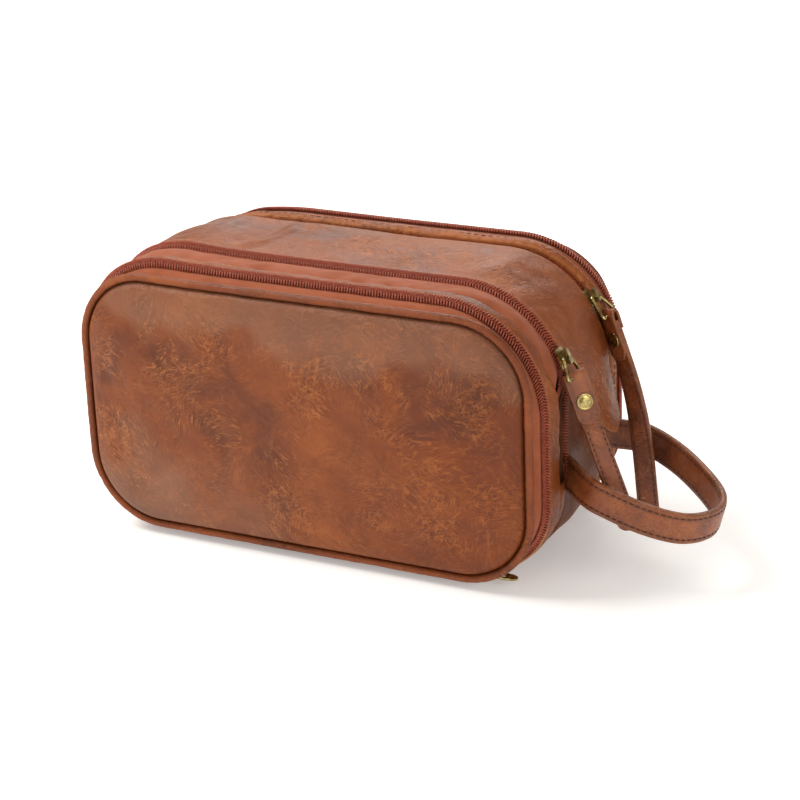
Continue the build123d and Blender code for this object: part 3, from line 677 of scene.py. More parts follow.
for sgn, cover, sect, cn, tn in ((-1, "front_cover", "front_section", ("zip1_front_coil", "zip1_rear_coil"), ("zip1_front_tape", "zip1_rear_tape")),
                                 (1, "rear_cover", "rear_section", ("zip4_rear_coil", "zip4_front_coil"), ("zip4_rear_tape", "zip4_front_tape"))):
    zc = 51.5 if sgn < 0 else 52.0
    tag = "zip1" if sgn < 0 else "zip4"
    cov = "front" if sgn < 0 else "rear"
    # cover half
    tl = 0.38 if sgn < 0 else 0.0
    b = Buf(); teeth(b, P8, S8A, S8B, sgn * (zc + 1.45), sgn, tilt=tl, r0=0.0 if sgn > 0 else 0.25)
    make(cn[0] + "_teeth", b, COIL, cover, (cn[0],))
    b = Buf()
    zz = zc
    hoop(b, P8, S8A - 1, S8B + 1, [(sgn * 62.1, -2.4), (sgn * (61.2), -0.2), (sgn * (59.5), 0.55), (sgn * (57.2), 0.35), (sgn * (55.3), -0.35), (sgn * (53.6), -0.75), (sgn * (zz + 0.55), -0.9)] if sgn > 0 else
         [(-62.2, -2.6), (-61.2, -1.0), (-59.9, -0.5), (-57.6, -0.75), (-55.6, -1.35), (-53.6, -1.55), (-(zz + 0.55), -1.15)],
         t=0.8, n=12, edge=(2.2, 0.8),
         dr=lambda S, y, B, sg=sgn: (pipe_r(S) + 1.4) * sstep(54.5, 61.2, np.abs(y)) + 0.18 * N_SML(B),
         noise=None)
    make(tn[0] + "_weave", b, TAPE, cover, (tn[0],))
    # section half
    b = Buf(); teeth(b, P8, S8A, S8B, sgn * (zc - 1.45), -sgn, phase=0.5, tilt=tl, r0=0.55 - 0.3 * (tl > 0))
    make(cn[1] + "_teeth", b, COIL, sect, (cn[1],))
    b = Buf()
    hoop(b, P8, S8A - 1, S8B + 1, [(sgn * (zz - 0.55), -0.9), (sgn * (zz - 2.4), -0.8), (sgn * (zz - 4.0), -0.75), (sgn * (zz - 5.2), -1.6)], t=0.8, n=8, edge=(0.8, 2.0))
    make(tn[1] + "_weave", b, TAPE, sect, (tn[1],))
    # metal bottom stops and the folded leather end tab on the underside
    for sg in (1, -1):
        b = Buf()
        s = (S8A - 0.8) * 1.0 if sg > 0 else P8.L - (S8A - 0.8)
        x, z, nx, nz = P8.at(np.array([s]))
        tube(b, np.array([[x[0], sgn * (zc - 2.6), z[0] - 0.5], [x[0], sgn * (zc - 0.8), z[0] - 1.3], [x[0], sgn * (zc + 0.8), z[0] - 1.3], [x[0], sgn * (zc + 2.6), z[0] - 0.5]]), 0.75, 8)
        make("%s_end_stop_%s" % (tag, "r" if sg > 0 else "l"), b, BRASS, sect, (tag + "_tail",) if sg > 0 else ())
    b = Buf()
    xx = np.linspace(-4.6, 4.6, 14); yy = np.linspace(-4.4, 4.4, 12)
    X, Y = np.meshgrid(xx, yy, indexing="ij")
    dome = 1.1 * (1 - (np.abs(X) / 4.7) ** 4) * (1 - (np.abs(Y) / 4.5) ** 4)
    top = np.stack([X + 77.2, Y + sgn * zc, 7.6 + 0 * X], -1)
    bot = np.stack([X + 77.2, Y + sgn * zc, 6.6 - dome], -1)
    for G, fl in ((top, False), (bot, True)):
        b.grid(G, closed_c=False, flip=fl, edge=(np.abs(Y) > 3.4).astype(float), uv=np.stack([X, Y], -1))
    ring = [(0, j) for j in range(11)] + [(i, 11) for i in range(13)] + [(13, j) for j in range(11, 0, -1)] + [(i, 0) for i in range(13, 0, -1)]
    rt_ = np.array([[top[i, j] for i, j in ring], [bot[i, j] for i, j in ring]])
    b.grid(rt_.transpose(1, 0, 2), closed_s=True, closed_c=False)
    for sx in (-3.4, 3.4):
        stitch_row(b, [(77.2 + sx, sgn * zc - 3.4, 5.75), (77.2 + sx, sgn * zc + 3.4, 5.75)], (0, 0, -1), 1.8, 1.4, 0.25)
    make(tag + "_end_tab_leather", b, L_STRAP, sect, (tag + "_end_tab",))

def SPREAD(S):
    """How far the section leather spreads over the terracotta tape: narrow over the top and left, wide down the right side."""
    q = hoop_pts(P4, np.atleast_1d(np.ravel(S)), -40.0, 0.0)[:, 0]
    w = 1.5 + 2.2 * sstep(55, 110, q[:, 0]) + 2.2 * sstep(-100, -131, q[:, 0]) + 6.8 * sstep(62, 44, q[:, 2]) + 6.4 * sstep(116, 96, q[:, 2]) * (q[:, 0] > 0)
    return np.minimum(w, 9.2).reshape(np.shape(S)) + 0.55 * N_SML(q).reshape(np.shape(S))


# zip 2: closed over the top, opened below the slider on the right side
S_SL2 = P0.c[3] + 55 * math.radians(14)      # just under slider 2
gap = lambda s: sstep(S_SL2 + 5, P0.s_side(78), s) * sstep(P0.s_side(48), P0.s_side(68), s)
b = Buf(); teeth(b, P0, S0A + 26, S0B, -25.95, -1, tilt=0.38, r0=0.35, fy=lambda s: -6.0 * gap(s), fr=lambda s: -7.5 * gap(s) ** 1.3)
make("zip2_front_coil_teeth", b, COIL, "front_section", ("zip2_front_coil",))
b = Buf(); teeth(b, P0, S0A, S0B, -23.05, 1, phase=0.5, tilt=0.38, r0=0.35, fy=lambda s: 2.4 * gap(s), fr=lambda s: -2.6 * gap(s))
make("zip2_rear_coil_teeth", b, COIL, "main", ("zip2_rear_coil",))
b = Buf()
hoop(b, P0, S0A + 10, S0B, [(-42.8, -3.0), (-42.3, -1.4), (-41.0, -0.7), (-38.0, -0.1), (-34.0, 0.15), (-30.5, 0.0), (-27.8, -0.55), (-25.05, -0.9)], t=0.8, n=18, edge=(3.0, 0.8),
     dr=lambda S, y, B: -7.5 * gap(S) ** 1.3 * sstep(-33.5, -25, y) - 3.2 * sstep(112, 96, B[..., 2]) * (B[..., 0] > 0) + 0.35 * N_SML(B) * sstep(-26, -30, y) + 0.25 * N_MID(B) * sstep(-26, -32, y),
     rag=lambda S, y: -5.0 * gap(S) * sstep(-33.5, -25, y) + SPREAD(S) * sstep(-31, -41, y))
make("zip2_front_tape_weave", b, TAPE, "front_section", ("zip2_front_tape",))
b = Buf()
hoop(b, P0, S0A, S0B, [(-23.95, -0.9), (-22.0, -0.85), (-20.0, -1.0), (-18.4, -1.5)], t=0.7, n=8, edge=(0.6, 1.5),
     dr=lambda S, y, B: -2.6 * gap(S), rag=lambda S, y: 2.2 * gap(S) * sstep(-18.0, -24.0, y))
make("zip2_rear_tape_weave", b, TAPE, "main", ("zip2_rear_tape",))

# zip 3: sunk between the wide gusset and the rear strip
b = Buf(); teeth(b, P0, S0A, S0B, 34.55, -1, r0=-3.4)
make("zip3_front_coil_teeth", b, COIL, "main", ("zip3_front_coil",))
b = Buf(); teeth(b, P0, S0A, S0B, 37.45, 1, r0=-3.4, phase=0.5)
make("zip3_rear_coil_teeth", b, COIL, "rear_section", ("zip3_rear_coil",))
b = Buf(); hoop(b, P0, S0A, S0B, [(28.6, -3.6), (31.0, -4.3), (33.5, -4.7), (35.45, -4.8)], t=0.7, n=8, edge=(1, 1))
make("zip3_front_tape_weave", b, TAPE, "main", ("zip3_front_tape",))
b = Buf(); hoop(b, P0, S0A, S0B, [(36.55, -4.8), (38.5, -4.7), (41.0, -3.9), (43.8, -2.9)], t=0.7, n=8, edge=(1, 1))
make("zip3_rear_tape_weave", b, TAPE, "rear_section", ("zip3_rear_tape",))

# ------------------------------------------------------------------ leather strips
# front section gusset
b = Buf()
fold = lambda B: 0.35 * N_MID(B) + 0.30 * N_SML(B)
hoop(b, P4, None, None, [(-48.1, -1.3), (-47.9, 0.1), (-46.9, 0.8), (-45.3, 0.95), (-44.0, 0.5), (-43.2, -0.5), (-42.7, -2.2), (-41.5, -3.2), (-38.0, -3.0), (-34.2, -2.2), (-33.4, -1.6)],
     t=1.2, n=30, step=1.7, edge=(2.0, 2.4), noise=fold, rag=lambda S, y: SPREAD(S) * sstep(-47.5, -44.5, y) * sstep(-33.4, -39.5, y),
     wear=lambda S, y, G: 0.8 * np.exp(-((y + 47.6) / 0.7) ** 2))
make("section_gusset_leather", b, L_TOP, "front_section", ("section_gusset",))
b = Buf()
s = np.linspace(0, P4.L, 420, endpoint=False)
tube(b, hoop_pts(P4, s, -47.9, 0.05 + 0.15 * N_SML(hoop_pts(P4, s, -47.9, 0)[:, 0])[:, None])[:, 0], 0.72, 8, closed=True, wear=0.4)
make("section_gusset_bound_edge", b, L_EDGE, "front_section")
# lower wall of the front section under zip 2
b = Buf()
sL = P4.s_side(50)
hoop(b, P4, -sL, sL, [(-34.6, -1.6), (-33.4, -0.4), (-31.0, 0.2), (-28.0, 0.1), (-25.6, -0.5), (-25.0, -1.6)], t=1.3, n=14, edge=(2, 2), noise=lambda B: 0.4 * N_SML(B))
make("section_lower_edge", b, L_TOP, "front_section")

# wide centre gusset: one long leather piece, its ends hang down as free rounded tongues
Z_IN = lambda z: P0.s_side(z)


def tongue_z(y):
    """Height of the gusset's lower end at depth y: it slants from the slider down to a rounded rear tip."""
    z = np.interp(y, [-21.5, -16, -8, 0, 8, 14, 20, 26, 31, 33.5], [101, 96, 86, 76.0, 67.5, 62.0, 59, 58.4, 61.5, 70.0])
    return z


def skew_top(S, y):
    a = Z_IN(tongue_z(y)); e = P0.L - Z_IN(tongue_z(y))
    t = (S - S.min()) / (S.max() - S.min())
    return a + (e - a) * t


def flare(S, y, B):
    zz = B[..., 2]
    side = (np.abs(B[..., 0]) > 90)
    return side * (7.0 * sstep(100, 56, zz) ** 1.3 * sstep(-20, 22, y) + 1.0 * sstep(125, 95, zz)) + 0.8 * N_BIG(B)


FOLDS = [((-52, -12), (-38, 20), 4.0, 1.7), ((-84, -14), (-70, 24), 5.0, 1.2), ((-20, 26), (-44, 22), 3.2, 0.9), ((30, -10), (52, 16), 5.0, 0.8), ((78, -14), (92, 20), 5.0, 0.7)]


def crease(B):
    """Soft random relief plus a few long diagonal folds in the top of the wide gusset."""
    h = 0.50 * N_MID(B) + 0.20 * N_SML(B)
    for (x0, y0), (x1, y1), wd, am in FOLDS:
        d = np.array([x1 - x0, y1 - y0], float); L_ = np.linalg.norm(d); d /= L_
        px, py = B[..., 0] - x0, B[..., 1] - y0
        u = px * d[0] + py * d[1]
        dist = px * -d[1] + py * d[0] + 2.5 * np.sin(u / 9.0)
        h = h + am * np.exp(-(dist / wd) ** 2) * sstep(-8, 4, u) * sstep(L_ + 8, L_ - 4, u) * (B[..., 2] > 90)
        h = h - 0.5 * am * np.exp(-((dist - 1.9 * wd) / wd) ** 2) * sstep(-8, 4, u) * sstep(L_ + 8, L_ - 4, u) * (B[..., 2] > 90)
    return h
b = Buf()
hoop(b, P0, 150.0, P0.L - 150.0, [(-21.0, -1.5), (-21.5, -0.3), (-21.0, 0.75), (-19.6, 0.9), (-18.0, 0.55), (-12.0, 1.0), (0.0, 1.9), (12.0, 2.0), (24.0, 1.3), (30.5, 0.6), (32.6, 0.1), (33.4, -0.8), (33.4, -2.0)],
     t=1.6, n=54, step=1.7, edge=(2.2, 4.0), noise=crease, dr=flare, skew=skew_top,
     wear=lambda S, y, G: 0.75 * np.exp(-((y + 20.9) / 0.8) ** 2) + 0.6 * np.exp(-((y - 32.6) / 0.8) ** 2) + 0.6 * sstep(6.0, 0.0, np.minimum(S - Z_IN(tongue_z(y)), P0.L - Z_IN(tongue_z(y)) - S)))
top_obj = make("centre_gusset_leather", b, L_TOP, "main", ("top_gusset",))
# stitching round the tongues
for side in (1, -1):
    b = Buf()
    yy = np.r_[np.linspace(-19.4, 31.0, 60), np.full(14, 31.2)]
    zz = np.r_[tongue_z(np.linspace(-19.4, 31.0, 60)) + 2.6, np.linspace(60, 92, 14)]
    sec = smooth_curve([(-21.0, -1.5), (-21.5, -0.3), (-21.0, 0.75), (-19.6, 0.9), (-18.0, 0.55), (-12.0, 1.0), (0.0, 1.9), (12.0, 2.0), (24.0, 1.3), (30.5, 0.6), (32.6, 0.1), (33.4, -0.8), (33.4, -2.0)], 54)
    rr = np.interp(yy, sec[2:, 0], sec[2:, 1])
    ss = Z_IN(zz)
    base = hoop_pts(P0, ss, yy[:, None], rr[:, None])[:, 0]
    if side < 0:
        base[:, 0] *= -1
    rr = rr + flare(ss, yy, base) + crease(base) * np.sin(np.interp(yy, [-21, 33], [0, PI])) ** 0.6
    Pq = hoop_pts(P0, ss, yy[:, None], rr[:, None])[:, 0]
    if side < 0:
        Pq[:, 0] *= -1
    stitch_row(b, Pq, (side, 0, 0), 3.0, 2.1, 0.32, 0.0)
    make("centre_gusset_stitching_%s" % ("r" if side > 0 else "l"), b, THREAD_TAN, "main")

# lower main wall: recessed, in a darker copy of the leather that is painted shade; it runs under the bag from side to
# side
PL = Path(128.6, 0.4, 147, 52, 38)
b = Buf()
sL = PL.s_side(96)
hoop(b, PL, -sL, sL, [(-24.4, -2.4), (-23.6, -0.8), (-21.0, 0.2), (-10, 0.6), (2, 0.9), (14, 0.6), (25.5, 0.2), (31.0, -0.4), (34.8, -1.2), (35.4, -2.4)], t=1.6, n=34, edge=(3, 3),
     noise=lambda B: 0.9 * N_MID(B) * (np.abs(B[..., 0]) > 95) * sstep(8, 24, B[..., 2]) + 0.2 * N_SML(B),
     dr=lambda S, y, B: -2.4 * sstep(20, 60, B[..., 2]) * np.sin(np.clip((y + 24.4) / 60, 0, 1) * PI) ** 2)
make("lower_gusset_leather", b, L_SHADED_SIDE, "main", ("lower_gusset",))

# rear strip between zip 3 and zip 4
b = Buf()
hoop(b, P4, None, None, [(38.4, -3.2), (38.7, -1.2), (39.6, 0.1), (41.4, 0.7), (44.0, 0.8), (45.6, 0.3), (46.6, -0.5), (46.9, -1.6)], t=1.4, n=20, step=1.7,
     edge=(2.0, 1.6), noise=lambda B: 0.35 * N_MID(B) + 0.2 * N_SML(B), wear=lambda S, y, G: 0.55 * np.exp(-((y - 39.4) / 0.7) ** 2) + 0.5 * np.exp(-((y - 46.3) / 0.6) ** 2))
make("rear_strip_leather", b, L_TOP, "rear_section", ("rear_strip_gusset",))
b = Buf()
s = np.linspace(P4.s_side(50), P4.L - P4.s_side(50), 500)
Pq = hoop_pts(P4, s, 42.6, 0.85)[:, 0]
Pq = hoop_pts(P4, s, np.full((500, 1), 42.6), (0.78 + 0.3 * N_MID(Pq))[:, None])[:, 0]
x, z, nx, nz = P4.at(s)
stitch_row(b, Pq, np.stack([nx, 0 * nx, nz], 1), 4.2, 2.9, 0.38, 0.0)
make("rear_strip_stitching", b, THREAD_TAN, "rear_section")
b = Buf()
sL = P4.s_side(50)
hoop(b, P4, -sL, sL, [(35.8, -1.6), (36.3, -0.5), (37.6, 0.0), (39.2, -0.3), (39.9, -1.6)], t=1.2, n=10, edge=(1.5, 1.5))
make("rear_strip_lower_edge", b, L_TOP, "rear_section")

# ------------------------------------------------------------------ covers: panel, foam, lining, piping, hem
PN = dict(half=125.5, z0=6.4, z1=144.6, r=37.6)


def sdf(x, z, half, z0, z1, r):
    qx = np.abs(x) - (half - r); qz = np.abs(z - (z0 + z1) / 2) - ((z1 - z0) / 2 - r)
    return np.minimum(np.maximum(qx, qz), 0) + np.hypot(np.maximum(qx, 0), np.maximum(qz, 0)) - r


_kd = np.linspace(0, 70, 1401)
_kh = np.interp(_kd, [0, 0.5, 1.2, 2.2, 4.6, 10, 20, 34, 50, 70], [61.8, 61.9, 62.8, 64.9, 66.3, 67.5, 68.5, 69.6, 70.5, 70.9])
_ker = np.exp(-np.linspace(-3, 3, 61) ** 2 / 2); _ker /= _ker.sum()
_kh = np.convolve(np.pad(_kh, 30, mode="edge"), _ker, mode="valid")


def crown(d):
    return np.interp(d, _kd, _kh)


def panel_grid(nr=64, npm=440, inset=0.0):
    pth = Path(PN["half"] - inset, PN["z0"] + inset, PN["z1"] - inset, PN["r"] - inset, PN["r"] - inset)
    s = np.linspace(0, pth.L, npm, endpoint=False)
    x, z, _, _ = pth.at(s)
    zc = (PN["z0"] + PN["z1"]) / 2
    cx = np.clip(x, -(PN["half"] - 66), PN["half"] - 66) * 0.98
    t = np.r_[np.linspace(1, 0.90, 14), np.linspace(0.90, 0.0, nr - 13)[1:]]
    X = cx[None] + t[:, None] * (x - cx)[None]
    Z = zc + t[:, None] * (z - zc)[None]
    d = -sdf(X, Z, PN["half"], PN["z0"], PN["z1"], PN["r"])
    return X, Z, d, s


def panel_mesh(name, sgn, yfun, t, mat, body, reps, nr=64, npm=440, inset=0.0, uvs=True, wearf=None, edgef=None):
    X, Z, d, s = panel_grid(nr, npm, inset)
    Y = sgn * yfun(X, Z, d)
    b = Buf()
    G = np.stack([X, Y, Z], -1)
    e = edgef(d) if edgef else sstep(4.5, 1.0, d)
    # outer skin, rim, inner skin; the skins close on the core line as one ngon-free fan of quads
    def skin(G, flip):
        ns, nc = G.shape[:2]
        v = G[:-1].reshape(-1, 3)
        f = []
        for i in range(ns - 2):
            a, c = i * nc, (i + 1) * nc
            for j in range(nc):
                k = (j + 1) % nc
                f.append((a + j, c + j, c + k, a + k))
        # the last ring is bridged across the core after this function returns, pairing point j with its mirror in z;
        # this loop adds nothing
        last = (ns - 2) * nc
        h = nc // 2
        for j in range(h):
            a, c = last + j, last + (j + 1) % nc
            p, q = last + (nc - j) % nc, last + (nc - j - 1) % nc
            # mirror about x: s -> L - s
            pass
        return v, f, last
    ns, nc = G.shape[:2]
    for off, fl in ((0.0, False), (-sgn * t, True)):
        GG = G.copy(); GG[..., 1] += off
        v, f, last = skin(GG, fl)
        c = GG[-2].mean(0)
        # fill the slim centre slot with quads between the upper and lower run of the last ring
        half_i = nc // 2
        up = [last + (half_i - k) % nc for k in range(0, half_i // 2 + 1)]
        b.add(v, f, np.stack([v[:, 0], v[:, 2]], 1), np.repeat(e[:-1].reshape(-1), 1), (wearf(v) if wearf else None))
        b_last = b.n - len(v) + last
        ring = list(range(b_last, b_last + nc))
        # points are ordered from bottom centre to +X, top, -X: the mirror of j about the horizontal core is nc/2 - j
        for j in range(0, nc // 2):
            j0, j1 = j, j + 1
            m0, m1 = (nc // 2 - j) % nc, (nc // 2 - j - 1) % nc
            if j0 < nc // 4:
                b.f.append((ring[j0], ring[j1], ring[m1], ring[m0]) if j1 != m1 else (ring[j0], ring[j1], ring[m0]))
        for j in range(0, nc // 4 + (1 if nc % 4 else 0)):
            j0, j1 = (-j) % nc, (-j - 1) % nc
            m0, m1 = (nc // 2 + j) % nc, (nc // 2 + j + 1) % nc
            if j1 == m1:
                b.f.append((ring[j0], ring[m0], ring[j1]))
            else:
                b.f.append((ring[j0], ring[m0], ring[m1], ring[j1]))
    nv = b.n // 2
    for j in range(nc):
        k = (j + 1) % nc
        b.f.append((j, k, nv + k, nv + j))
    return make(name, b, mat, body, reps)


def leather_front(seed):
    A, B_, C_ = waves(seed, 60, 130), waves(seed + 1, 24, 50), waves(seed + 2, 9, 17)

    def y(X, Z, d):
        p = np.stack([X, 0 * X, Z], -1)
        m = sstep(3, 22, d)
        return crown(d) + m * (0.75 * A(p) + 0.42 * B_(p)) + sstep(3.5, 9, d) * 0.14 * C_(p) + 0.25 * sstep(2, 4, d) * sstep(12, 5, d) * waves(seed + 4, 12, 26)(p)
    return y


for sgn, cover, nm, mat, seed in ((-1, "front_cover", "front", L_PANEL, 21), (1, "rear_cover", "rear", L_REAR, 57)):
    # edgef darkening: painted shade in the groove next to the piping (first term); the faint band over the outer 16 mm,
    # where the panel curves down, is burnished edge and painted shade
    panel_mesh(nm + "_panel_leather", sgn, leather_front(seed), 1.3, mat, cover, (nm + "_panel",), edgef=lambda d: sstep(2.1, 1.0, d) + 0.20 * sstep(16, 2, d) * (1 - sstep(2.1, 1.0, d)))
    panel_mesh(nm + "_foam_pad", sgn, lambda X, Z, d: crown(d) - 2.6 - 0.9 * sstep(10, 3.2, d), 3.0, FOAM, cover, (nm + "_panel_foam",), nr=24, npm=160, inset=4.0)
    panel_mesh(nm + "_cover_lining_cloth", sgn, lambda X, Z, d: 60.2 + 0.5 * N_MID(np.stack([X, 0 * X, Z], -1)) * sstep(2, 14, d), 0.7, LINING, cover, (nm + "_cover_lining",), nr=30, npm=220, inset=0.2)
    # piping: a covered cord with its own gathers
    PP = Path(127.05, 5.05, 146.05, 39.05, 39.05)
    s = np.linspace(0, PP.L, 620, endpoint=False)
    c = hoop_pts(PP, s, sgn * 62.7, 0.0)[:, 0]
    rad = 2.05 + 0.09 * N_SML(c) + 0.09 * N_TINY(c)
    b = Buf(); tube(b, c, rad, 18, closed=True)
    th = np.linspace(0, 2 * PI, 18, endpoint=False)
    # painted shade: these 'edge' values darken both flanks of the piping cord, towards the groove and the outer rim
    b.at["edge"][0] = np.tile(0.55 * (np.abs(np.cos(th)) ** 3), len(c))
    make(nm + "_piping_cord", b, L_PIPE, cover, (nm + "_piping",))
    # leather hem along the bottom edge of the cover
    b = Buf()
    hoop(b, P8, -84, 84, [(sgn * 61.0, 1.6), (sgn * 60.0, 1.1), (sgn * 58.4, 0.8), (sgn * 56.6, 0.3), (sgn * 55.4, -0.4)], t=1.2, n=12, edge=(1.4, 1.4), noise=lambda B: 0.2 * N_SML(B))
    make(nm + "_cover_bottom_hem", b, L_TOP, cover, (nm + "_cover_hem",))


# ------------------------------------------------------------------ hinges along the bottom: leather strips with a slight sag, in their rest shape and not carried by any body
def hinge_strip(name, ya, yb, za, zb, reps, half=82.0, sag=0.5, mat=None):
    nx_, ny_ = 84, 16
    xs = np.linspace(-half, half, nx_)
    t = np.linspace(0, 1, ny_)
    Y = ya + (yb - ya) * t
    Z = za + (zb - za) * t - sag * np.sin(PI * t)
    o = np.stack([Y, Z], 1)
    i = o + np.array([0, 1.1])
    sec = np.vstack([o, i[::-1]])
    G = np.zeros((nx_, 2 * ny_, 3))
    G[..., 0] = xs[:, None]
    G[..., 1] = sec[None, :, 0]
    G[..., 2] = sec[None, :, 1]
    G[..., 2] += 0.2 * N_SML(G)
    bf = Buf()
    e = np.r_[np.abs(np.linspace(-1, 1, ny_)) ** 4, np.abs(np.linspace(-1, 1, ny_)) ** 4]
    bf.grid(G, closed_c=True, edge=e, uv=None)
    o_ = make(name, bf, mat or L_TOP, None, reps)
    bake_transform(o_)
    return o_


hinge_strip("front_hinge_leather", -47.0, -56.6, 6.6, 7.6, ("front_hinge_strip",))
hinge_strip("rear_hinge_leather", 46.2, 56.6, 6.2, 7.6, ("rear_hinge_strip",))
# the section hinge folds under the bag use the darker leather, painted shade
hinge_strip("front_section_hinge_fold", -20.5, -29.0, 1.8, 4.6, (), half=88.0, mat=L_SHADED_SIDE)
hinge_strip("rear_section_hinge_fold", 31.5, 40.0, 1.8, 4.8, (), half=88.0, mat=L_SHADED_SIDE)


# ------------------------------------------------------------------ linings, dividers and pockets
def inner_sheet(name, y, half, z0, z1, r, t, body, reps, mat=LINING, amp=0.6, seed=31):
    rt, rb = r if isinstance(r, tuple) else (r, r)
    pth = Path(half, z0, z1, rt, rb)
    r = rb
    s = np.linspace(0, pth.L, 200, endpoint=False)
    x, z, _, _ = pth.at(s)
    zc = (z0 + z1) / 2
    cx = np.clip(x, -(half - 60), half - 60)
    tt = np.linspace(1, 0.0, 22)[:-1]
    X = cx[None] + tt[:, None] * (x - cx)[None]; Z = zc + tt[:, None] * (z - zc)[None]
    w = waves(seed, 30, 80)
    bf = Buf()
    nc = len(s)
    d = -sdf(X, Z, half, z0, z1, r)
    for off in (0.0, t):
        Y = y + off + amp * w(np.stack([X, 0 * X, Z], -1)) * sstep(1, 14, d)
        G = np.stack([X, Y, Z], -1)
        n0 = bf.n
        f = [(i * nc + j, (i + 1) * nc + j, (i + 1) * nc + (j + 1) % nc, i * nc + (j + 1) % nc) for i in range(len(tt) - 1) for j in range(nc)]
        bf.add(G, f, np.stack([X, Z], -1), sstep(3, 0.5, d))
        last = n0 + (len(tt) - 1) * nc
        ring = list(range(last, last + nc))
        for j in range(nc // 4):
            m0, m1 = nc // 2 - j, nc // 2 - j - 1
            bf.f.append((ring[j], ring[j + 1], ring[m1], ring[m0]) if j + 1 != m1 else (ring[j], ring[j + 1], ring[m0]))
            j0, j1 = (-j) % nc, (-j - 1) % nc
            m0, m1 = (nc // 2 + j) % nc, (nc // 2 + j + 1) % nc
            bf.f.append((ring[j0], ring[m0], ring[m1], ring[j1]) if j1 != m1 else (ring[j0], ring[m0], ring[j1]))
    nv = bf.n // 2
    for j in range(nc):
        bf.f.append((j, (j + 1) % nc, nv + (j + 1) % nc, nv + j))
    # bound edge
    c = np.stack([x, np.full(nc, y + t / 2), z], 1)
    tube(bf, c, 1.1, 8, closed=True, flat=1.0, edge=0.6)
    return make(name, bf, mat, body, reps)


inner_sheet("section_divider_cloth", -32.1, 127.8, 7.0, 146.9, (52.0, 37.0), 1.0, "front_section", ("section_divider",), seed=31)
inner_sheet("rear_divider_cloth", 44.2, 127.8, 7.0, 146.9, (52.0, 37.0), 1.0, "rear_section", ("rear_divider",), seed=33)
inner_sheet("main_divider_cloth", 24.0, 123.6, 7.6, 142.4, (47.6, 32.6), 1.0, "main", ("main_divider",), seed=35)
b = Buf()
hoop(b, P0, None, None, [(-18.4, -6.6), (-17.6, -7.2), (-8, -7.6), (4, -7.4), (14, -7.6), (23.2, -7.4), (23.8, -6.8)], t=0.7, n=22, step=3.0, edge=(1.5, 1.5), noise=lambda B: 0.5 * N_MID(B))
make("main_lining_cloth", b, LINING, "main", ("main_lining",))
# the side wall of the front compartment is lined too
for nme, y0, y1, body in (("front_section_wall_lining", -46.6, -34.4, "front_section"),):
    b = Buf()
    hoop(b, P4, None, None, [(y0, -1.9), ((y0 + y1) / 2, -2.5), (y1, -1.9)], t=0.5, n=10, step=3.0, edge=(1, 1), noise=lambda B: 0.3 * N_MID(B))
    make(nme, b, LINING, body)

# leaf pulls of the two cover zips: rounded leaves with a rolled rim and a slot
for tagn, yy0, bodyn in (("1", -51.5, "pull_tab_1"), ("4", 52.0, "pull_tab_4")):
    lo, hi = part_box("pull_tab_" + tagn)
    x0_, x1_ = lo.x / MM, hi.x / MM
    zc_ = 0.5 * (lo.z + hi.z) / MM
    m_ = 56
    ou = []
    for a_ in np.linspace(0, 2 * PI, m_, endpoint=False):
        u_ = math.cos(a_)
        w_ = math.sin(a_)
        xx_ = (x0_ + x1_) / 2 + (x1_ - x0_) / 2 * np.sign(u_) * abs(u_) ** 0.75
        hw = 2.3 + 0.9 * sstep(x0_, x1_, xx_)
        ou.append((xx_, hw * np.sign(w_) * abs(w_) ** 0.75))
    ou = np.array(ou); ce = np.array([(x0_ + x1_) / 2, 0])
    rings = []
    for f_, h_ in ((0.42, 0.30), (0.46, 0.48), (0.80, 0.48), (0.86, 0.62), (0.95, 0.66), (1.0, 0.40), (1.0, -0.40), (0.95, -0.66), (0.86, -0.62), (0.80, -0.48), (0.46, -0.48), (0.42, -0.30)):
        p_ = ce + (ou - ce) * f_
        rings.append(np.stack([p_[:, 0], yy0 + p_[:, 1], np.full(m_, zc_ + h_)], 1))
    bf = Buf(); bf.grid(np.array(rings).transpose(1, 0, 2), closed_s=True, closed_c=True)
    make("pull_tab_%s_leaf" % tagn, bf, BRASS_HI, bodyn, ("pull_tab_" + tagn,), warped=False, angle=50)

# stiff base board with rounded edge
b = Buf()
pb = Path(83, -19.5, 19.5, 8, 8)
s = np.linspace(0, pb.L, 150, endpoint=False)
bx, by, bnx, bny = pb.at(s)
prof = [(-4.0, 0.0), (-0.8, 0.0), (-0.2, 0.25), (0.0, 0.9), (-0.2, 1.55), (-0.8, 1.8), (-4.0, 1.8)]
G = np.stack([np.stack([bx + p * bnx, by + p * bny + 2.5, np.full_like(bx, 8.8 + h)], 1) for p, h in prof], 1)
b.grid(G, closed_s=True, closed_c=False)
n0 = b.n
nc = len(prof)
cols = 20
for lvl, jj in ((8.8, 0), (10.6, nc - 1)):
    b.f.append(tuple(i * nc + jj for i in range(len(s))))
make("bottom_board_stiffener", b, BOARD, "main", ("bottom_board",), angle=50)


# mesh pocket inside the front cover: open net, elastic top hem, cloth-bound sides
b = Buf()
def bulge(x, z):
    return -59.0 + 1.9 * sstep(98, 60, np.abs(x)) * sstep(22, 60, z)
for xi in np.arange(-95, 96, 3.8):
    zz = np.linspace(22.5, 76, 16)
    tube(b, np.stack([np.full(16, xi), bulge(xi, zz), zz], 1), 0.38, 5, caps=False)
for zi in np.arange(24, 76, 3.8):
    xx = np.linspace(-97, 97, 44)
    tube(b, np.stack([xx, bulge(xx, zi), np.full(44, zi)], 1), 0.38, 5, caps=False)
make("mesh_pocket_net", b, MESH, "front_cover", ("mesh_pocket",))
b = Buf()
rim = smooth_curve([(-97.5, 77), (-97.5, 50), (-97.5, 26), (-94, 22.5), (-50, 21.8), (0, 21.8), (50, 21.8), (94, 22.5), (97.5, 26), (97.5, 50), (97.5, 77)], 150)
tube(b, np.stack([rim[:, 0], bulge(rim[:, 0], rim[:, 1]) * 1.0, rim[:, 1]], 1), 1.15, 8, flat=0.7)
xx = np.linspace(-98.5, 98.5, 90)
G = []
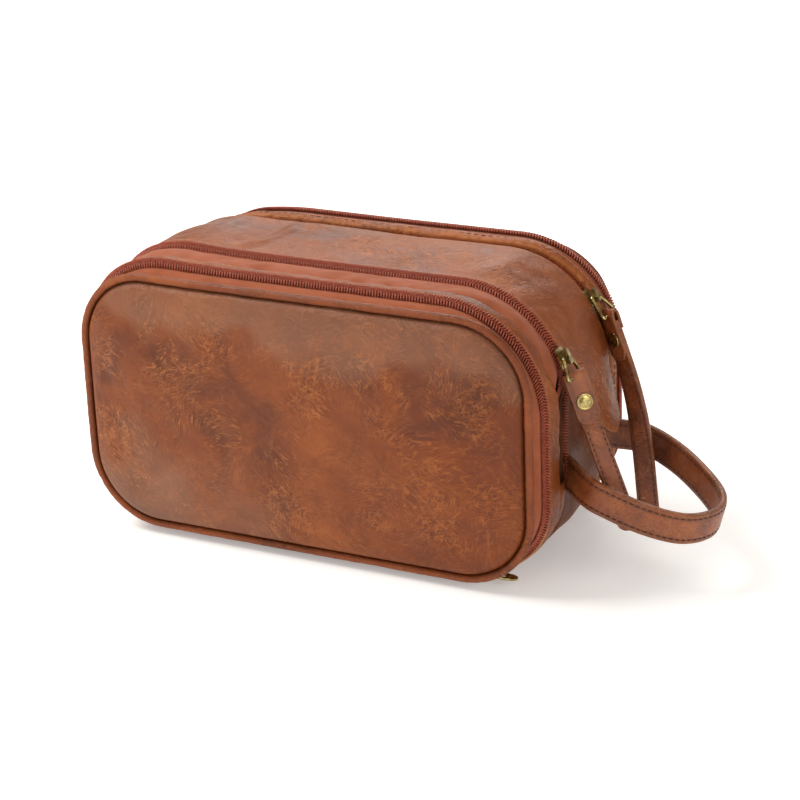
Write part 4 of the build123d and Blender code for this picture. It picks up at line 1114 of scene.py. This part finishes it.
for x_ in xx:
    y_ = bulge(x_, 77.0) - 0.25 + 0.18 * math.sin(x_ * 1.1)
    G.append([(x_, y_ - 0.7, 74.0), (x_, y_ - 0.8, 77.0), (x_, y_ - 0.7, 80.0), (x_, y_ + 0.3, 80.5), (x_, y_ + 0.7, 77.0), (x_, y_ + 0.3, 73.6)])
b.grid(np.array(G), closed_c=True)
make("mesh_pocket_binding", b, ELAST, "front_cover")

# slip pocket inside the rear cover
b = Buf()
nx_, nz_ = 60, 26
X, Z = np.meshgrid(np.linspace(-95, 95, nx_), np.linspace(22, 88, nz_), indexing="ij")
yb = 59.1 - 1.5 * sstep(95, 60, np.abs(X)) * sstep(22, 70, Z) - 0.3 * N_MID(np.stack([X, 0 * X, Z], -1))
G1 = np.stack([X, yb, Z], -1); G2 = np.stack([X, yb - 0.8, Z], -1)
b.grid(G1, closed_c=False, uv=np.stack([X, Z], -1)); b.grid(G2, closed_c=False, flip=True, uv=np.stack([X, Z], -1))
ring = [(i, 0) for i in range(nx_ - 1)] + [(nx_ - 1, j) for j in range(nz_ - 1)] + [(i, nz_ - 1) for i in range(nx_ - 1, 0, -1)] + [(0, j) for j in range(nz_ - 1, 0, -1)]
b.grid(np.array([[G1[i, j] for i, j in ring], [G2[i, j] for i, j in ring]]).transpose(1, 0, 2), closed_s=True, closed_c=False)
tube(b, np.stack([np.linspace(-95, 95, 70), np.interp(np.linspace(-95, 95, 70), X[:, -1], yb[:, -1]) - 0.4, np.full(70, 88.0)], 1), 1.3, 8, edge=0.7)
make("slip_pocket_cloth", b, LINING, "rear_cover", ("slip_pocket",))

# elastic loops: one ribbed band, stitched down between the loops
b = Buf()
xs = np.linspace(-100, 100, 260)
ph = np.clip(np.abs(np.sin(PI * (xs + 100) / 40.0)), 0, 1) ** 0.75
band = -32.6 * 0 + (-32.4 + 0.0 * xs) + 0 * xs
yo = -32.6 - 0.0 * xs
yy = -33.0 + 0.0 * xs
Yb = -31.0 + 0 * xs
Yf = -30.6 + 4.8 * ph
G = []
for x_, y_ in zip(xs, Yf):
    G.append([(x_, y_ - 0.55, 64.2), (x_, y_ + 0.45, 64.0), (x_, y_ + 0.6, 78), (x_, y_ + 0.45, 92.0), (x_, y_ - 0.55, 91.8), (x_, y_ - 0.5, 78)])
b.grid(np.array(G), closed_c=True)
for k in range(6):
    x_ = -100 + 40 * k
    x_ = min(max(x_, -98.6), 98.6)
    stitch_row(b, [(x_, -29.9, 65), (x_, -29.9, 91)], (0, 1, 0), 2.6, 2.0, 0.3)
make("elastic_loop_band", b, ELAST, "front_section", ("elastic_loops",))


# ------------------------------------------------------------------ straps
def strap(buf, C, W, N, width, thick, n=9, edge_in=0.5, pad=0.35, taper=None, closed_ends=True, wear=0.5):
    """A stitched strap. C centre line, W width direction, N outward face direction, all (k,3)."""
    C, W, N = (np.asarray(a, float) for a in (C, W, N))
    k = len(C)
    wd = np.broadcast_to(np.asarray(width, float), (k,)).copy()
    u = np.linspace(-1, 1, n)
    # face section: raised middle, pressed line along the stitching, rolled edges
    q = np.abs(u)
    hgt = 0.5 + pad * (1 - q ** 6) * 0.5
    dip = 0.15 * np.exp(-((q - 0.74) / 0.10) ** 2)
    up = np.stack([u, (hgt - dip)], 1)
    dn = np.stack([u[::-1], -(0.5 + pad * 0.35 * (1 - q[::-1] ** 6))], 1)
    side = [(1.03, 0.25), (1.045, -0.1), (1.02, -0.35)]
    sec = np.vstack([up, side, dn, [(-x, y) for x, y in side[::-1]]])
    if taper is not None:
        wd = wd * taper
    th = np.broadcast_to(np.asarray(thick, float), (k,)).copy()
    G = C[:, None] + W[:, None] * (sec[None, :, :1] * wd[:, None, None] / 2) + N[:, None] * (sec[None, :, 1:] * th[:, None, None])
    # painted shade: the 'edge' values darken the pressed stitching line and the rolled sides of the strap
    e = np.maximum(0.95 * np.exp(-((np.abs(sec[:, 0]) - 0.75) / 0.10) ** 2), 0.55 * np.clip((np.abs(sec[:, 0]) - 0.90) / 0.1, 0, 1))
    wv = np.exp(-((np.abs(sec[:, 0]) - 0.99) / 0.05) ** 2) * wear
    buf.grid(G, closed_c=True, edge=e, wear=wv)
    return buf


def frames(C, up):
    T = np.gradient(C, axis=0); T /= np.linalg.norm(T, axis=1)[:, None]
    W = np.broadcast_to(np.asarray(up, float), C.shape).copy()
    W -= (W * T).sum(1)[:, None] * T
    W /= np.linalg.norm(W, axis=1)[:, None]
    return T, W, np.cross(T, W)


# side handle: one long strap standing on its edge
A = math.radians(14.2)
LX, LY, UP = np.array([math.cos(A), 0, -math.sin(A)]), np.array([0, 1.0, 0]), np.array([math.sin(A), 0, math.cos(A)])
loc = [(-8, -17.0), (0, -22.0), (6, -26.5), (14, -32.2), (24, -35.6), (47, -36.5), (67, -29), (76.5, -10), (70, 9), (45, 30), (20, 39.5), (6, 34.5), (0, 31.2), (-7, 27.5)]
q = smooth_curve(loc, 240)
C = np.array([131, 0, 53.0]) + q[:, :1] * LX + q[:, 1:] * LY
C = C + UP * (0.5 * np.sin(q[:, 0] / 80 * 5.0))[:, None]
T, W, N = frames(C, UP)
N = -N if (N[120] @ np.array([1, 0, 0])) < 0 else N
b = Buf()
tp = np.ones(240)
strap(b, C, W, N, 16.6, 2.7, n=15, taper=tp)
hb = make("handle_loop_strap", b, L_STRAP, None, ("handle_strap",), warped=False)
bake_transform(hb)
b = Buf()
for sg in (1, -1):
    for face in (1, -1):
        row = C + W * sg * 6.1 * 1.0 * tp[:, None] + N * face * 1.62
        stitch_row(b, row[10:-10], N[10:-10] * face, 3.3, 2.4, 0.33, 0.0)
hs = make("handle_loop_stitching", b, THREAD, None, warped=False)
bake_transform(hs)

# pull strap 2: folded over its ring, riveted, then a long tail with stitched edges
r2 = np.array([136.14, -24.5, 107.04])
a20 = math.radians(20)
D0 = np.array([math.sin(a20), 0, -math.cos(a20)])
Nf = np.cross(D0, [0, 1.0, 0]); Nf = Nf if Nf[0] > 0 else -Nf
tw = math.radians(46)                     # the strap is turned on its ring, its face towards the front corner
Wd = np.array([0, 1.0, 0]) * math.cos(tw) + Nf * math.sin(tw)
Nn = np.cross(Wd, D0); Nn = Nn if Nn[0] > 0 else -Nn
k = 110
t = np.linspace(0, 84, k)
C = r2 + t[:, None] * D0 + Nn * (-0.85 * sstep(30, 22, t))[:, None]
T, W, N = frames(C, Wd)
N = N * np.sign((N * Nn).sum(1))[:, None]
b = Buf()
endr = np.where(t > 79, np.sqrt(np.clip(1 - ((t - 79) / 5.05) ** 2, 0.02, 1)), 1.0)
tp = endr * (0.90 + 0.06 * sstep(30, 60, t))
strap(b, C[3:], W[3:], N[3:], 10.6, 1.5 + 1.0 * sstep(22, 30, t[3:]), n=13, taper=tp[3:])
# the folded upper layer round the ring, with its pointed end below the rivet
ff = smooth_curve([(8.0, -1.6), (3.0, -1.7), (-0.6, -1.5), (-2.2, 0.0), (-0.8, 1.2), (2.5, 1.1), (8, 0.9), (14, 0.85), (20, 0.9), (25.0, 1.0)], 80)
Cf = r2 + ff[:, :1] * D0 + ff[:, 1:] * Nn
Tf = np.gradient(Cf, axis=0); Tf /= np.linalg.norm(Tf, axis=1)[:, None]
Nff = np.cross(Tf, Wd); Nff /= np.linalg.norm(Nff, axis=1)[:, None]; Nff *= np.sign((Nff[-1] @ Nn))
arc = ff[:, 0] * (np.arange(80) > 30)
tp = np.where(arc > 20.5, 1 - 0.62 * np.clip((arc - 20.5) / 4.5, 0, 1) ** 1.4, 1.0)
strap(b, Cf, np.repeat(Wd[None], 80, 0), Nff, 12.2, 1.35, n=13, taper=tp)
make("pull_strap_2_leather", b, L_STRAP, "pull_strap_2", ("pull_strap_2",), warped=False)
b = Buf()
for sg in (1, -1):
    row = C + W * sg * 3.75 + N * 1.52
    stitch_row(b, row[36:104], N[36:104], 2.9, 2.1, 0.3, 0.0)
    row = C + W * sg * 3.75 - N * 1.42
    stitch_row(b, row[36:104], -N[36:104], 2.9, 2.1, 0.3, 0.0)
make("pull_strap_2_stitching", b, THREAD, "pull_strap_2", warped=False)



def rivet(name, c, n_, w_, body, node):
    """A domed rivet cap with a rolled rim, and its flat burr on the far side."""
    n_ = n_ / np.linalg.norm(n_)
    w_ = w_ - (w_ @ n_) * n_; w_ /= np.linalg.norm(w_)
    h_ = np.cross(n_, w_)
    prof = [(0.0, 1.05), (1.2, 1.02), (2.3, 0.86), (3.0, 0.66), (3.25, 0.62), (3.55, 0.82), (3.95, 0.86), (4.25, 0.62), (4.3, 0.25), (4.1, 0.0), (2.0, -0.05), (0.9, -0.1), (0.9, -2.9), (2.6, -3.0), (3.0, -3.15), (2.9, -3.5), (2.2, -3.62), (0.0, -3.66)]
    th = np.linspace(0, 2 * PI, 40, endpoint=False)
    G = []
    for r_, h in prof:
        r_ = max(r_, 0.02)
        G.append(c + n_ * h + r_ * (np.cos(th)[:, None] * w_ + np.sin(th)[:, None] * h_))
    bf = Buf(); bf.grid(np.array(G), closed_c=True)
    return make(name, bf, BRASS_HI, body, (node,), warped=False, angle=60)


rivet("pull_strap_2_rivet", r2 + D0 * 13.0 + Nn * 1.55, Nn, Wd, "pull_strap_2", "strap_rivet_2")

# pull strap 3: hangs, turning from edge-on to flat, and bows outwards
h3 = np.array([122.92, 36, 126.65]); r3 = np.array([131.52, 36.0, 117.25])
e3 = np.array([161.0, 17.0, 12.0])
D3 = e3 - r3; Ls = np.linalg.norm(D3); D3 = D3 / Ls
t = np.linspace(0, 1, 130)
bow = np.array([1.0, 0.2, 0.25]); bow -= (bow @ D3) * D3; bow /= np.linalg.norm(bow)
C = r3 + D3 * (t * 108)[:, None] + bow * (5.0 * np.sin(PI * np.clip(t, 0, 1)) ** 1.2 * (1 - 0.3 * t))[:, None]
cam_r = np.array([0.877, 0.48, 0.0])
cam_f = np.array([-0.437, 0.799, -0.412])
T = np.gradient(C, axis=0); T /= np.linalg.norm(T, axis=1)[:, None]
sidev = np.cross(T, cam_f); sidev /= np.linalg.norm(sidev, axis=1)[:, None]
sidev *= np.sign(sidev @ cam_r)[:, None]
facev = np.cross(sidev, T); facev *= -np.sign(facev @ cam_f)[:, None]
ang = np.radians(np.interp(t, [0, 0.2, 0.45, 0.7, 1], [66, 60, 44, 18, 8]))
W = sidev * np.cos(ang)[:, None] + facev * np.sin(ang)[:, None]
N = facev * np.cos(ang)[:, None] - sidev * np.sin(ang)[:, None]
b = Buf()
l = t * 108
endr = np.where(l > 103, np.sqrt(np.clip(1 - ((l - 103) / 5.05) ** 2, 0.02, 1)), 1.0)
strap(b, C[4:], W[4:], N[4:], 10.6, 2.6, n=13, taper=endr[4:])
ff = smooth_curve([(8, -1.5), (3, -1.6), (-0.6, -1.4), (-2.2, 0.0), (-0.8, 1.3), (2.5, 1.9), (8, 2.0), (14, 2.0), (20, 2.0), (24, 1.9)], 70)
tt_ = np.clip(ff[:, 0] / 108.0, 0, 1)
idx_ = np.clip((tt_ * 129).astype(int), 0, 129)
ctr = np.stack([np.interp(tt_, t, C[:, i_]) for i_ in range(3)], 1) + np.minimum(ff[:, :1], 0) * T[0]
Cf = ctr + ff[:, 1:] * N[idx_]
Tf = np.gradient(Cf, axis=0); Tf /= np.linalg.norm(Tf, axis=1)[:, None]
Wf3 = W[idx_]
Nff = np.cross(Tf, Wf3); Nff /= np.linalg.norm(Nff, axis=1)[:, None]; Nff *= np.sign(Nff[-1] @ N[idx_[-1]])
tp3 = np.where((ff[:, 0] > 19.5) & (np.arange(70) > 30), 1 - 0.55 * np.clip((ff[:, 0] - 19.5) / 4.5, 0, 1) ** 1.4, 1.0)
strap(b, Cf, Wf3, Nff, 11.4, 1.3, n=13, taper=tp3)
make("pull_strap_3_leather", b, L_STRAP, "pull_strap_3", ("pull_strap_3",), warped=False)
b = Buf()
for sg in (1, -1):
    for face in (1, -1):
        row = C + W * sg * 3.9 + N * (1.58 * face)
        stitch_row(b, row[30:122], N[30:122] * face, 2.9, 2.1, 0.3, 0.0)
rivet("pull_strap_3_rivet", ctr[np.argmin(np.abs(ff[:, 0] - 13) + 100 * (np.arange(70) < 30))] + N[int(13 / 108 * 129)] * 2.5, N[int(13 / 108 * 129)], W[int(13 / 108 * 129)], "pull_strap_3", "strap_rivet_3")
make("pull_strap_3_stitching", b, THREAD, "pull_strap_3", warped=False)

# leather loop that carries the stowed hook, inside the main compartment
b = Buf()
ff = smooth_curve([(-2.2, 141), (-2.3, 136), (-2.4, 130.5), (-1.6, 126.6), (0, 125.4), (1.6, 126.6), (2.4, 130.5), (2.3, 136), (2.2, 141)], 60)
Cf = np.stack([np.zeros(60), -15.6 + ff[:, 0], ff[:, 1]], 1)
Tf = np.gradient(Cf, axis=0); Tf /= np.linalg.norm(Tf, axis=1)[:, None]
Wf = np.repeat(np.array([[1.0, 0, 0]]), 60, 0)
Nf_ = np.cross(Tf, Wf)
Nf_ *= np.sign((Nf_ * (Cf - Cf.mean(0))).sum(1))[:, None] * 1.0
Nf_[np.linalg.norm(Nf_, axis=1) < 0.5] = (0, 1, 0)
strap(b, Cf, Wf, np.cross(Tf, Wf), 14.6, 1.3, n=11)
make("hook_tab_leather", b, L_STRAP, "main", ("hook_tab",), warped=False)

for nme in ("pull_ring_2", "pull_ring_3"):
    NODES[nme].data.materials[0] = BRASS_HI

# ------------------------------------------------------------------ floor, light, camera
def simple_mat(name, col, rough):
    n = NT(name)
    v = n.noise(0.004, 3.0, 0.5)
    n.p.inputs["Emission Color"].default_value = (1, 1, 1, 1)
    far = n.dot(n.mm, n.mm)
    n.put(n.p.inputs["Emission Strength"], n.range(n.math("SQRT", far), 350.0, 1700.0, 0.27, 0.60))
    return n.done(n.mix(n.range(v, 0.3, 0.7), col, tuple(min(1, c * 1.02) for c in col[:3]) + (1.0,)), rough)


fl = bpy.data.meshes.new("floor")
fl.from_pydata([(-6, -6, 0), (6, -6, 0), (6, 9, 0), (-6, 9, 0)], [], [(0, 1, 2, 3)])
fl.materials.append(simple_mat("pale_floor", (0.86, 0.86, 0.86, 1.0), 0.9))
floor = bpy.data.objects.new("floor", fl); COL.objects.link(floor)
floor.location = (0, 0, min(0.0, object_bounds()[0][2]) - 0.0002)
# the floor lies under whatever hangs lowest, so that an opened section isn't buried in it
drv = floor.driver_add("location", 2).driver
drv.type = "MIN"


def probe(name, pos, body=None):
    e = bpy.data.objects.new(name, None); COL.objects.link(e)
    e.location = tuple(c * MM for c in pos)
    if body is not None:
        e.parent = frame["bodies"][body]
    va = drv.variables.new(); va.name = name; va.type = "TRANSFORMS"
    va.targets[0].id = e
    va.targets[0].transform_type = "LOC_Z"
    va.targets[0].transform_space = "WORLD_SPACE"


probe("probe_rest", (0, 0, floor.location[2] / MM))
for body_, y_ in (("front_section", -62), ("front_cover", -67), ("rear_section", 62), ("rear_cover", 67)):
    for k_, (x_, z_) in enumerate(((0, 0.5), (0, 152.0))):
        probe("probe_%s_%d" % (body_, k_), (x_, y_, z_), body_)

world = bpy.data.worlds.new("studio"); bpy.context.scene.world = world
world.use_nodes = True
bg = world.node_tree.nodes["Background"]
bg.inputs[0].default_value = (1.0, 1.0, 1.0, 1.0)
wt = world.node_tree
lp = wt.nodes.new("ShaderNodeLightPath")
mr = wt.nodes.new("ShaderNodeMapRange")
mr.inputs["To Min"].default_value = 0.50
mr.inputs["To Max"].default_value = 1.0
wt.links.new(lp.outputs["Is Camera Ray"], mr.inputs["Value"])
wt.links.new(mr.outputs[0], bg.inputs[1])
mxw = wt.nodes.new("ShaderNodeMix"); mxw.data_type = "RGBA"
mxw.inputs[6].default_value = (1.0, 0.955, 0.89, 1.0)
mxw.inputs[7].default_value = (1.0, 1.0, 1.0, 1.0)
wt.links.new(lp.outputs["Is Camera Ray"], mxw.inputs[0])
wt.links.new(mxw.outputs[2], bg.inputs[0])


def area(name, loc, target, size, power, col=(1, 0.965, 0.91), sy=None):
    d = bpy.data.lights.new(name, "AREA")
    d.shape = "RECTANGLE"; d.size = size; d.size_y = sy or size
    d.energy = power; d.color = col
    o = bpy.data.objects.new(name, d); COL.objects.link(o)
    o.location = loc
    o.rotation_mode = "QUATERNION"
    o.rotation_quaternion = (Vector(target) - Vector(loc)).to_track_quat("-Z", "Y")
    return o


area("key", (-0.80, -0.25, 1.20), (0, 0, 0.07), 0.7, 18.5)
area("back", (-0.35, 1.15, 0.95), (0, 0, 0.08), 0.9, 11.5)
area("fill", (-0.5, -1.7, 0.55), (0, 0, 0.07), 1.2, 5.5)
area("side", (1.5, -0.55, 0.65), (0.1, 0, 0.07), 0.8, 7.0)

sc = bpy.context.scene
sc.view_settings.view_transform = "Standard"
sc.view_settings.look = "None"

az, el, roll, dist = 0.5002469993393514, 0.42520858740619527, -0.06098792985822603, 1226.3962270086247
ca, sa, ce, se = math.cos(az), math.sin(az), math.cos(el), math.sin(el)
fw = Vector((-sa * ce, ca * ce, -se)); rr_ = Vector((ca, sa, 0)); uu = Vector((-sa * se, ca * se, ce))
r2_ = rr_ * math.cos(roll) + uu * math.sin(roll); u2_ = uu * math.cos(roll) - rr_ * math.sin(roll)
cam_d = bpy.data.cameras.new("camera")
cam_d.lens = 108.0; cam_d.sensor_width = 36.0
cam_d.shift_x = (400 - 311.30921580741756) / 800; cam_d.shift_y = (452.0065832419478 - 400) / 800
cam_d.clip_start = 0.05; cam_d.clip_end = 50
cam = bpy.data.objects.new("camera", cam_d); COL.objects.link(cam)
M = Matrix(((r2_.x, u2_.x, -fw.x, 0), (r2_.y, u2_.y, -fw.y, 0), (r2_.z, u2_.z, -fw.z, 0), (0, 0, 0, 1)))
M.translation = (Vector((8.130443843385137, -66, 63.948962856035756)) - fw * dist) * MM
cam.matrix_world = M
sc.camera = cam
